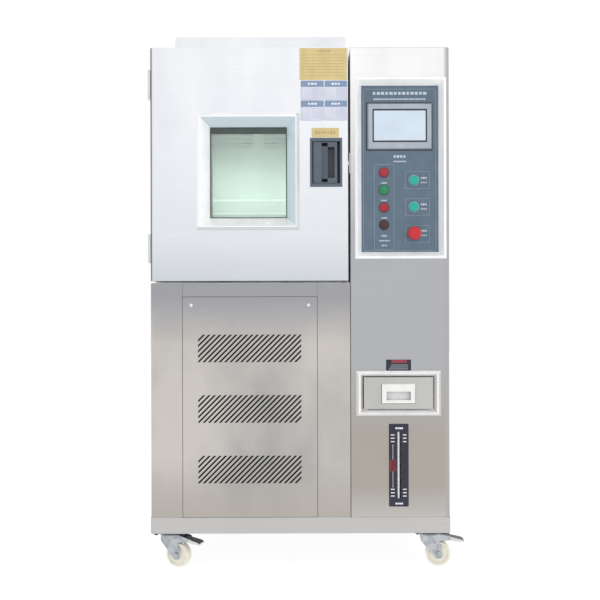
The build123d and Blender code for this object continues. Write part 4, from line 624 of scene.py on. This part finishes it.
# Floor: a grid of points x = half * u, y = half * v at height 0
def addFloor(values):
    u, v = np.meshgrid(np.linspace(-1, 1, 9), np.linspace(-1, 1, 9), indexing="ij")
    half = values["floorHalf"]
    points = np.stack([half * u, half * v, 0 * u], axis=-1).reshape(-1, 3)
    material, tree, shader = startMaterial("studio_floor")
    dust = mapped(tree, noiseOf(tree, (3.0, 3.0, 3.0), 4.0), 0.3, 0.7)
    pale = values["floorColour"]
    colour = blended(tree, dust, tuple(0.99 * part for part in pale), pale)
    shaded = tuple(values["floorShade"] * part for part in pale)
    worn = tuple(1.03 * part for part in shaded)
    tree.links.new(blended(tree, dust, shaded, worn), shader.inputs["Base Color"])
    tree.links.new(colour, shader.inputs["Emission Color"])
    shader.inputs["Emission Strength"].default_value = values["floorGlow"]
    shader.inputs["Roughness"].default_value = 0.8
    mesh = bpy.data.meshes.new("studio_floor")
    mesh.from_pydata(points.tolist(), [], gridFaces(9, 9, False, False, 0)[:, ::-1].tolist())
    mesh.materials.append(material)
    floor = bpy.data.objects.new("studio_floor", mesh)
    bpy.context.scene.collection.objects.link(floor)


def boxOf(name):
    low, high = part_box(name)
    return np.array(low) / mm, np.array(high) / mm


def middleOf(name):
    low, high = boxOf(name)
    return (low + high) / 2


placeCamera(cameraView)
lightStudio(studio)
addFloor(studio)
dressNodes(nodeFinishes)
print("stage: frame dressed")

# Plain plates on the door: X and Z edges in millimetres, nothing printed on them but plain bars
doorPlates = {
    "yellow": [(-18.9, 123.8, 1472.0, 1568.0), (17.0, 99.3, 1299.5, 1328.0)],
    "columns": [(-15.3, 53.9), (56.3, 123.8)],
    "rows": [(1411.6, 1470.2), (1350.6, 1410.2)],
    "header": 19.0,
    "line": 0.9,
    "split": 0.6,
    "thick": 0.35,
    "fieldThick": 0.15,
    "inkThick": 0.12,
    "headerBar": (20.0, 3.0, 2.6, 3),  # in from the sides, below and above the middle, blocks
    "textLines": (6, 4.5, 5.4, 1.3, 4.0, 4),  # lines, first down, pitch, height, in from the right, blocks
    "title": (50.0, 12.0, 6.5, 4),  # in from the sides, low and high edge below the top, blocks
    "ochreLines": (8, 19.0, 9.0, 2.0, 8.0, 13),  # lines, first down, pitch, height, in from the sides, blocks
    "smallBar": (10.0, 7),  # in from the edges, blocks
}


def plateOn(face, depth, edges, thick, corner=1.5, lift=0.0):
    left, right, low, high = edges
    origin = ((left + right) / 2, depth - lift, (low + high) / 2)
    return slabGrid(face, origin, (right - left, high - low), thick, corner)


def dressDoor(values):
    depth = boxOf("door_shell")[0][1]
    thick, ink, rim = values["thick"], values["inkThick"], values["line"]
    yellow = [plateOn("front", depth, edges, thick) for edges in values["yellow"]]
    newPiece("door_plates_yellow", yellow, "plateYellow", "door")
    outlines, fields, headers, bars, lines, ochre = [], [], [], [], [], []
    face = (0, depth - thick - values["fieldThick"], 0)
    barIn, below, above, barBlocks = values["headerBar"]
    lineCount, firstDown, pitch, lineHigh, lineIn, lineBlocks = values["textLines"]
    for left, right in values["columns"]:
        for low, high in values["rows"]:
            outlines.append(plateOn("front", depth, (left, right, low, high), thick))
            field = (left + rim, right - rim, low + rim, high - values["header"])
            header = (left + rim, right - rim, field[3] + values["split"], high - rim)
            fields.append(plateOn("front", depth, field, values["fieldThick"], 0.8, thick))
            headers.append(plateOn("front", depth, header, values["fieldThick"], 0.8, thick))
            middle = high - values["header"] / 2
            ends = left + barIn, right - barIn, middle - below, middle + above
            bars += blockRow("front", face, *ends, barBlocks, ink)
            start = left + 0.5 * (right - left)
            for i in range(lineCount):
                top = field[3] - firstDown - i * pitch
                lines += blockRow("front", face, start, right - lineIn, top - lineHigh, top, lineBlocks, ink)
    face = (0, depth - thick, 0)
    left, right, low, high = values["yellow"][0]
    aside, down, up, blocks = values["title"]
    ochre += blockRow("front", face, left + aside, right - aside, high - down, high - up, blocks, ink)
    count, down, pitch, tall, aside, blocks = values["ochreLines"]
    for i in range(count):
        top = high - down - i * pitch
        ochre += blockRow("front", face, left + aside, right - aside, top - tall, top, blocks, ink)
    left, right, low, high = values["yellow"][1]
    aside, blocks = values["smallBar"]
    ochre += blockRow("front", face, left + aside, right - aside, low + aside, high - aside, blocks, ink)
    pieces = {
        "outlines": (outlines, "plateBlue"), "fields": (fields, "plateLavender"),
        "headers": (headers, "plateBlue"), "bars": (bars, "gaugeWhite"),
        "lines": (lines, "plateLines"), "ochre": (ochre, "plateOchre"),
    }
    for name, (grids, finish) in pieces.items():
        newPiece(f"door_plate_{name}", grids, finish, "door")


# Plain navy plate on the column, with a red band and pale stripes; band and stripes are shares of the plate
columnPlate = {
    "edges": (239.0, 314.2, 598.2, 631.2),
    "band": (0.22, 0.83, 0.70, 0.97),
    "stripes": 3,
    "stripeFirst": 0.13,
    "stripePitch": 0.18,
    "stripeLeft": (0.10, 0.05),  # the first stripe's start, and how much later each next one starts
    "stripeRight": 0.12,
    "stripeHigh": 1.3,
    "thick": 0.4,
    "printThick": 0.15,
}


def dressColumn(values):
    depth = boxOf("column_front")[0][1]
    thick, ink = values["thick"], values["printThick"]
    left, right, low, high = values["edges"]
    wide, tall = right - left, high - low
    plate = [plateOn("front", depth, values["edges"], thick)]
    newPiece("column_plate", plate, "navy", "cabinet")
    a, b, c, d = values["band"]
    edges = (left + a * wide, left + b * wide, low + c * tall, low + d * tall)
    band = [plateOn("front", depth, edges, ink, 0.6, thick)]
    newPiece("column_plate_band", band, "plateRed", "cabinet")
    start, later = values["stripeLeft"]
    stripes = []
    for i in range(values["stripes"]):
        line = low + tall * (values["stripeFirst"] + values["stripePitch"] * i)
        ends = left + (start + later * i) * wide, right - values["stripeRight"] * wide
        stripes.append(plateOn("front", depth, (*ends, line, line + values["stripeHigh"]), ink, 0.4, thick))
    newPiece("column_plate_stripes", stripes, "printPale", "cabinet")


# Level gauge: white marks on the plate and a pale channel behind the glass tube
gaugeMarks = {
    "leftTicks": (252.5, 263.8),
    "rightTicks": (288.8, 299.6),
    "heights": (405.0, 395.2, 384.9, 241.7, 231.5, 221.6),
    "tickHigh": 2.8,
    "blocks": [
        (left, left + 4.6, low, low + 5.2) for left in (266.2, 272.2, 278.2, 284.2) for low in (422.6, 196.2)
    ],
    "line": (258.2, 259.2, 248.8, 374.9),
    "lineEnds": [(256.2, 261.2, 373.9, 375.0), (256.2, 261.2, 248.7, 249.8)],
    "redBlock": (247.4, 267.6, 295.9, 331.6),
    "channel": (10.6, 198.0, 1.2, 0.4),  # width, height, thickness, behind the tube
    "thick": 0.2,
}


def dressGauge(values):
    depth, ink = boxOf("gauge_plate")[0][1], values["thick"]
    white = [plateOn("front", depth, edges, ink, 0.4) for edges in values["blocks"] + values["lineEnds"]]
    white.append(plateOn("front", depth, values["line"], ink, 0.3))
    for z in values["heights"]:
        for ends in (values["leftTicks"], values["rightTicks"]):
            edges = (*ends, z - values["tickHigh"] / 2, z + values["tickHigh"] / 2)
            white.append(plateOn("front", depth, edges, ink, 0.4))
    newPiece("gauge_marks", white, "gaugeWhite", "cabinet")
    red = [plateOn("front", depth, values["redBlock"], ink, 0.6)]
    newPiece("gauge_red_mark", red, "gaugeRed", "cabinet")
    low, high = boxOf("sight_tube")
    wide, tall, thick, gap = values["channel"]
    behind = ((low[0] + high[0]) / 2, high[1] + thick + gap, (low[2] + high[2]) / 2)
    channel = [slabGrid("front", behind, (wide, tall), thick, 0.8)]
    newPiece("gauge_channel", channel, "gaugeWhite", "cabinet")


# Control panel: edges are right and up of the plate's middle, in millimetres
panelPrint = {
    "border": (-110.6, 109.5, -248.2, 241.8),
    "borderLine": 0.8,
    "borderCorner": 8.0,
    "rows": [  # left, right, low, high, number of blocks
        (-84.0, 82.0, 224.5, 233.0, 13), (-80.0, 78.0, 208.7, 213.4, 22),
        (-20.7, 18.9, 33.7, 41.0, 4), (-20.7, 18.9, 20.2, 24.4, 7),
        *[(-58.0, -39.0, low, low + 4.4, 3) for low in (-45.0, -98.0, -151.0, -205.0)],
        (-64.0, -30.0, -219.6, -215.5, 6), (-57.0, -39.0, -233.8, -230.0, 4),
        *[row for low in (-45.5, -125.5, -205.5)
          for row in ((62.0, 82.0, low + 15.0, low + 20.6, 3), (62.0, 82.0, low + 2.0, low + 5.6, 4))],
    ],
    "boxes": [(-77.8, -17.8, -244.7, 13.6), (16.0, 90.0, -60.0, -8.0), (16.0, 90.0, -141.0, -90.0),
              (16.0, 90.0, -223.0, -171.0)],
    "boxLine": 0.7,
    "boxCorner": 3.0,
    "printThick": 0.2,
    # dark ring round the screen: partly gasket and partly painted shadow of the standing screen
    "screenShadeOutline": (-103.0, 99.0, 55.0, 201.0),
    "screenMargin": 0.3,
    "lcdBorder": (-83.0, 82.0, 80.0, 180.5),
    "lcdIn": (8.0, 9.5),  # the display is this much smaller than its border
    "lcdGap": 1.0,
    "display": (0.6, 0.5),  # play of the display in its border, thickness
    "outlineThick": 0.4,
    "borderThick": 0.3,
}


def lineFrame(origin, edges, line, corner, thick):
    left, right, low, high = edges
    place = shifted("front", origin, (left + right) / 2, (low + high) / 2)
    wide, tall = right - left, high - low
    inner = (wide - 2 * line, tall - 2 * line, corner - line)
    return frameGrid("front", place, (wide, tall, corner), inner, thick)


def betweenFrames(origin, outer, inner, thick, corner, lift=0.0):
    place = shifted("front", origin, (outer[0] + outer[1]) / 2, (outer[2] + outer[3]) / 2, lift)
    outline = (outer[1] - outer[0], outer[3] - outer[2], corner)
    return frameGrid("front", place, outline, (*inner, 0.6), thick)


def dressPanel(values):
    low, high = boxOf("control_panel")
    origin = ((low[0] + high[0]) / 2, low[1], (low[2] + high[2]) / 2)
    thick = values["printThick"]
    border = lineFrame(origin, values["border"], values["borderLine"], values["borderCorner"], thick)
    line, corner = values["boxLine"], values["boxCorner"]
    boxes = [lineFrame(origin, edges, line, corner, thick) for edges in values["boxes"]]
    newPiece("panel_lines", [border, *boxes], "printLine", "cabinet")
    blocks = []
    for left, right, bottom, top, count in values["rows"]:
        blocks += blockRow("front", origin, left, right, bottom, top, count, thick)
    newPiece("panel_blocks", blocks, "printPale", "cabinet")
    screenLow, screenHigh = boxOf("touch_screen")
    margin = 2 * values["screenMargin"]
    screenSize = (screenHigh[0] - screenLow[0] + margin, screenHigh[2] - screenLow[2] + margin)
    # ring round the screen: partly gasket and partly painted shadow
    gasketAndShade = betweenFrames(origin, values["screenShadeOutline"], screenSize, values["outlineThick"], 4.0)
    face = origin[1] - screenLow[1]
    outer = values["lcdBorder"]
    inX, inZ = values["lcdIn"]
    lcdSize = (outer[1] - outer[0] - inX, outer[3] - outer[2] - inZ)
    border = betweenFrames(origin, outer, lcdSize, values["borderThick"], 2.0, face)
    newPiece("screen_borders_and_shade", [gasketAndShade, border], "darkBorderAndShade", "cabinet")
    middle = ((outer[0] + outer[1]) / 2, (outer[2] + outer[3]) / 2)
    glass = shifted("front", origin, *middle, face - values["lcdGap"])
    play, thick = values["display"]
    display = [slabGrid("front", glass, (lcdSize[0] - play, lcdSize[1] - play), thick, 1.0)]
    newPiece("screen_display", display, "display", "cabinet")


# Lamps and buttons: profiles are (radius, height above the panel) in millimetres
lampValues = {
    "right": -48.5,
    "up": (-11.0, -64.0, -117.0, -170.0),
    "finishes": ("lampRed", "lampGreen", "lampRed", "lampMaroon"),
    "ring": [(0, -20), (10.7, -20), (10.7, 0), (15.3, 0), (15.3, 1.6), (15.0, 2.2), (14.5, 2.4),
             (14.3, 2.1), (0, 2.1)],
    "lens": [(0, 2.1), (14.2, 2.1), (14.2, 3.3), (13.8, 4.7), (12.6, 6.0), (10.5, 7.0), (7.7, 7.7),
             (4.0, 7.95), (0, 8)],
}
buttonValues = {
    "collar": [(14.9, 0.05), (16.2, 0.05), (16.2, 2.6), (15.9, 3.3), (15.4, 3.4), (14.9, 3.0)],
    "sleeve": [(11.8, -18), (13, -18), (13, -2.6), (12, -2.5), (12, -0.2), (11.8, -0.2)],
    "cap": [(0, -4), (11.5, -4), (11.5, 5.3), (14.2, 5.4), (14.6, 5.9), (14.6, 7.5), (14.1, 8.5), (13.0, 9.0),
            (11.6, 8.7), (8.0, 8.3), (4.0, 8.1), (0, 8.1)],
    "mushroom": [(0, -4), (11.4, -4), (11.4, 11.6), (17.4, 11.8), (18.9, 12.8), (19.9, 14.6), (20, 16.2),
                 (19.4, 18.4), (17.8, 20.6), (15.0, 22.4), (11.2, 23.5), (6.0, 23.95), (0, 24)],
}


def dressControls(lamps, buttons):
    low, high = boxOf("control_panel")
    face = low[1]
    middle = ((low[0] + high[0]) / 2, face, (low[2] + high[2]) / 2)
    places = [shifted("front", middle, lamps["right"], up) for up in lamps["up"]]
    lampRings = [turnedGrid("front", place, lamps["ring"]) for place in places]
    newPiece("lamp_rings", lampRings, "lampRing", "cabinet")
    keys = {"power_button": "power_key", "run_button": "run_key", "stop_button": "stop_key"}
    keyPlaces = {name: (middleOf(name)[0], face, middleOf(name)[2]) for name in keys}
    rings = [turnedGrid("front", place, buttons["collar"], closed=True) for place in keyPlaces.values()]
    rings += [turnedGrid("front", place, buttons["sleeve"], closed=True) for place in keyPlaces.values()]
    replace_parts(newPiece("panel_rings", rings, "chrome", "cabinet"), "panel_fittings")
    for finish in sorted(set(lamps["finishes"])):
        same = [place for place, other in zip(places, lamps["finishes"]) if other == finish]
        lenses = [turnedGrid("front", place, lamps["lens"]) for place in same]
        newPiece(f"{finish}_lenses", lenses, finish, "cabinet")
    for name, body in keys.items():
        red = name == "stop_button"
        profile, finish = ("mushroom", "capRed") if red else ("cap", "capGreen")
        cap = [turnedGrid("front", keyPlaces[name], buttons[profile], 56)]
        piece = newPiece(f"{name}_cap", cap, finish, body)
        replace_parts(piece, name)


# Window: dark spacer between the panes, a thin bead in front of the first pane and a dark bar along its top
# as painted shadow
windowValues = {
    "paneThick": 5.0,
    "tunnelWall": 1.2,
    "spacer": 4.0,
    "gap": 0.25,
    "bead": 2.2,
    "beadDeep": 1.6,
    "beadGap": 0.4,
    "overlap": 8.0,
    # the bar is painted shadow of the frame along the top of the sight
    "bar": 17.0,
    "barThick": 0.8,
}


def dressWindow(values):
    low, high = boxOf("window_glass")
    middle = (low + high) / 2
    wide, tall = high[0] - low[0], high[2] - low[2]
    inside = 2 * (values["tunnelWall"] + values["gap"])
    outer = (wide - inside, tall - inside, 1.0)
    inner = (outer[0] - 2 * values["spacer"], outer[1] - 2 * values["spacer"], 0.6)
    back = high[1] - values["paneThick"] - values["gap"]
    front = low[1] + values["paneThick"] + values["gap"]
    spacer = frameGrid("front", (middle[0], back, middle[2]), outer, inner, back - front)
    sight = 2 * values["overlap"]
    beadOuter = (wide - sight - values["beadGap"], tall - sight - values["beadGap"], 1.0)
    beadInner = (beadOuter[0] - 2 * values["bead"], beadOuter[1] - 2 * values["bead"], 0.6)
    bead = frameGrid("front", (middle[0], low[1], middle[2]), beadOuter, beadInner, values["beadDeep"])
    # dark bar along the top of the sight: painted shadow
    barHigh = values["bar"]
    barPlace = (middle[0], low[1], middle[2] + (beadInner[1] - barHigh) / 2)
    bar = slabGrid("front", barPlace, (beadInner[0], barHigh), values["barThick"], 0.6)
    newPiece("window_spacer_and_shade_bar", [spacer, bead, bar], "spacerAndShadeTone", "door")


# Casters: wheel section as (radius, offset along the axle), turned round the axle
casterValues = {
    "yaw": {"front_left": -20, "front_right": -5, "rear_left": 200, "rear_right": 12},
    "trail": 25.0,
    "wheelHalf": [(37.49, 0), (37.49, 8.6), (37.2, 10.6), (36.2, 12.1), (34.6, 12.9), (30.8, 13),
                  (29.9, 12.4), (29.3, 10.4), (27.6, 9.3), (15.2, 9.1), (13.2, 9.8), (12.3, 12.8), (11.4, 14),
                  (6.1, 14)],
    "race": [(29.7, 101.9), (31.0, 102.1), (31.7, 103.4), (31.7, 105.6), (31.0, 106.9), (29.7, 107.2)],
    "axleEnd": [(0, 22), (4.6, 22), (4.6, 23.4), (3.4, 24.3), (0, 24.4)],
    "boltHead": [(0, 0), (7.0, 0), (7.0, 0.9), (5.6, 1.0), (5.6, 3.9), (4.9, 4.6), (0, 4.6)],
    "boltPlaces": [(sx * 41.0, sy * 33.5) for sx in (-1, 1) for sy in (-1, 1)],
    "plateUnder": 107.5,
    "pedal": [  # distance along the caster, height of the top, half width, depth of the skirts
        (23.0, 92.5, 13.6, 8.0), (28.0, 94.8, 13.9, 11.5), (40.0, 94.6, 13.9, 14.0), (54.0, 93.0, 13.9, 13.5),
        (63.0, 91.2, 14.2, 12.5), (70.0, 89.4, 16.0, 11.5), (80.0, 87.2, 17.4, 10.0), (92.0, 84.8, 17.9, 8.0),
        (99.0, 82.6, 17.8, 6.0), (102.0, 80.4, 17.0, 4.4), (102.9, 78.6, 15.8, 3.4),
    ],
    "pedalSheet": 2.2,
    "pad": (46.0, 78.0, 3.7, 13.5),  # distance along, height, radius, half length
}


# Pressed pedal: a channel whose outer and inner lines follow the top's height, the half width and the skirts
def pedalGrid(axes, origin, rows, sheet):
    along, top, half, skirt = np.array(rows, float).T[:, :, None]
    side = np.array([-1, -1, -0.94, -0.62, 0, 0.62, 0.94, 1, 1])[None, :]
    drop = np.array([0, 3.2, 0.9, 0.1, 0, 0.1, 0.9, 3.2, 0])[None, :]
    end = np.array([1, 0, 0, 0, 0, 0, 0, 0, 1])[None, :]
    outerV, outerW = half * side, top - drop - end * skirt
    innerV, innerW = (half - sheet) * side, np.where(end == 1, outerW, outerW - sheet)
    v = np.concatenate([outerV, innerV[:, ::-1]], axis=1)
    w = np.concatenate([outerW, innerW[:, ::-1]], axis=1)
    shut = [(a + a[:, ::-1]) / 2 for a in (np.stack([v[0], v[-1]]), np.stack([w[0], w[-1]]))]
    v = np.concatenate([shut[0][:1], v, shut[0][1:]])
    w = np.concatenate([shut[1][:1], w, shut[1][1:]])
    u = np.concatenate([along[:1], along, along[-1:]]) + 0 * v
    return pointsOn(axes, origin, u, v, w), False, True


def dressCasters(values):
    half = values["wheelHalf"]
    section = [(r, -w) for r, w in half[:0:-1]] + half
    races, bolts = [], []
    for corner, yaw in values["yaw"].items():
        turn = math.radians(yaw)
        along = np.array((math.cos(turn), math.sin(turn), 0))
        axle = np.array((-math.sin(turn), math.cos(turn), 0))
        centre = middleOf(f"{corner}_wheel")
        axes = (along, (0, 0, 1), axle)
        tyre = [turnedGrid(axes, centre, section, 72, True)]
        wheel = newPiece(f"{corner}_tyre", tyre, "nylon", f"{corner}_roller")
        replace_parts(wheel, f"{corner}_wheel")
        sides = [(along, (0, 0, 1), side * axle) for side in (-1, 1)]
        ends = [turnedGrid(side, centre, values["axleEnd"], 24) for side in sides]
        newPiece(f"{corner}_axle_ends", ends, "zinc", f"{corner}_swivel")
        pin = centre - values["trail"] * along
        if corner.startswith("front"):
            foot = np.array((pin[0], pin[1], 0))
            padAlong, padUp, padRadius, padHalf = values["pad"]
            middle = foot + padAlong * along + np.array((0, 0, padUp))
            padLine = [(0, -padHalf), (padRadius, -padHalf), (padRadius, padHalf), (0, padHalf)]
            arm = [pedalGrid((along, axle, (0, 0, 1)), foot, values["pedal"], values["pedalSheet"]),
                   turnedGrid(axes, middle, padLine, 20)]
            pedal = newPiece(f"{corner}_pedal_arm", arm, "pedal", f"{corner}_pedal")
            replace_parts(pedal, f"{corner}_brake")
        races.append(turnedGrid("top", (pin[0], pin[1], 0), values["race"], 56, True))
        for dx, dy in values["boltPlaces"]:
            place = (pin[0] + dx, pin[1] + dy, values["plateUnder"])
            bolts.append(turnedGrid("under", place, values["boltHead"], 6))
    newPiece("caster_races", races, "shadedZinc", "cabinet")
    newPiece("caster_bolts", bolts, "shadedZinc", "cabinet")


# Lower front: a near-black sheet behind the slots as painted shade, dark strips as painted shade in the gap
# round the panel and along the fascia's two seams and the covers of the door's hinges
frontValues = {
    "shadeSheet": (10.0, 10.0, 441.5, 2.0),  # in from the sides, in from top and bottom, back's depth, thickness
    "gapShadeStrip": (1.1, 0.8, 0.12),  # out from the panel's edge, in from it, thickness
    "seam": (1.0, 0.1),  # width, thickness
    "cover": (7.9, -452.0, -392.0, 87.0, 1.6),  # out from the door's side, front, back, height, corner
    "spacing": 495.5,
}


def dressFront(values):
    low, high = boxOf("access_panel")
    # near-black sheet behind the slots: painted shade
    aside, inset, back, thick = values["shadeSheet"]
    sheet = plateOn("front", -back, (low[0] + aside, high[0] - aside, low[2] + inset, high[2] - inset), thick)
    newPiece("slot_shade_sheet", [sheet], "slotShadeTone", "cabinet")
    # dark strips over the gap round the panel and along the seams: painted shade
    outward, inward, rise = values["gapShadeStrip"]
    middle = ((low[0] + high[0]) / 2, low[1], (low[2] + high[2]) / 2)
    wide, tall = high[0] - low[0], high[2] - low[2]
    outer = (wide + 2 * outward, tall + 2 * outward, 1.2)
    ring = frameGrid("front", middle, outer, (wide - 2 * inward, tall - 2 * inward, 0.4), rise)
    lineWide, lineRise = values["seam"]
    top = boxOf("lower_fascia")[1][2]
    half = lineWide / 2
    seams = [plateOn("front", low[1], (x - half, x + half, high[2] + outward, top), lineRise, 0.2)
             for x in (low[0], high[0])]
    newPiece("access_gap_shade", [ring, *seams], "gapShadeTone", "cabinet")
    side = boxOf("door_shell")[0][0]
    leafLow, leafHigh = boxOf("door_hinges")
    out, front, rear, tall, corner = values["cover"]
    middle = (leafLow[2] + leafHigh[2]) / 2
    heights = [middle + turn * values["spacing"] / 2 for turn in (-1, 1)]
    size, y = (rear - front, tall), (front + rear) / 2
    covers = [slabGrid("left", (side, y, z), size, out, corner, 5) for z in heights]
    newPiece("door_hinge_covers", covers, "coverSteel", "door")


# Screws: places are found from the boxes of the parts that they hold
screwValues = {
    "access": (26.0, 25.0, 5.2, 2.0),  # in from the side, down from the top, radius, height
    "hinge": (3.6, 1.5, 30.0),  # radius, height, above and below the leaf's middle
    "hingeSpacing": 495.5,
    "cabinetLeaf": (3.0, (-40.0, -14.0)),  # out from the side, places from the rear edge
    "doorLeaf": (7.9, (-6.0, 29.0)),  # out from the side, places from the front edge
    "cover": (4.0, 1.8, 5, 6.0, 30.0, 1.5),  # radius, height, count, in from the edge and ends, sheet
    "back": (4.2, 1.8, 5, 8, 12.0),  # radius, height, columns, rows, in from the edge
}


def dressScrews(values):
    low, high = boxOf("access_panel")
    aside, down, radius, rise = values["access"]
    columns = (low[0] + aside, high[0] - aside)
    front = [screwGrid("front", (x, low[1], high[2] - down), radius, rise) for x in columns]
    newPiece("access_screws", front, "chrome", "cabinet")
    radius, rise, spread = values["hinge"]
    for node, body in (("cabinet_hinges", "cabinet"), ("door_hinges", "door")):
        low, high = boxOf(node)
        out, places = values[f"{body}Leaf"]
        face = boxOf("left_side_panel")[0][0] - out
        ends = [(high if body == "cabinet" else low)[1] + place for place in places]
        middle = (low[2] + high[2]) / 2
        heads = [
            screwGrid("left", (face, y, middle + side * values["hingeSpacing"] / 2 + dz), radius, rise, 16)
            for side in (-1, 1) for dz in (-spread, spread) for y in ends
        ]
        newPiece(f"{body}_hinge_screws", heads, "wireSteel", body)
    low, high = boxOf("motor_cover")
    radius, rise, count, inset, aside, sheet = values["cover"]
    top = low[2] + sheet
    along = np.linspace(low[0] + aside, high[0] - aside, count)
    rows = (low[1] + inset, high[1] - inset)
    heads = [screwGrid("top", (x, y, top), radius, rise, 16) for x in along for y in rows]
    low, high = boxOf("back_panel")
    radius, rise, columns, rows, inset = values["back"]
    xs = np.linspace(low[0] + inset, high[0] - inset, columns)
    zs = np.linspace(low[2] + inset, high[2] - inset, rows)
    rim = [(x, z) for x in xs for z in zs if x in (xs[0], xs[-1]) or z in (zs[0], zs[-1])]
    heads += [screwGrid("back", (x, high[1], z), radius, rise, 16) for x, z in rim]
    newPiece("sheet_screws", heads, "wireSteel", "cabinet")


dressDoor(doorPlates)
dressColumn(columnPlate)
dressGauge(gaugeMarks)
print("stage: plates and gauge")
dressPanel(panelPrint)
dressControls(lampValues, buttonValues)
print("stage: control panel")
dressWindow(windowValues)
dressCasters(casterValues)
dressFront(frontValues)
dressScrews(screwValues)
print("stage: window, casters and screws")
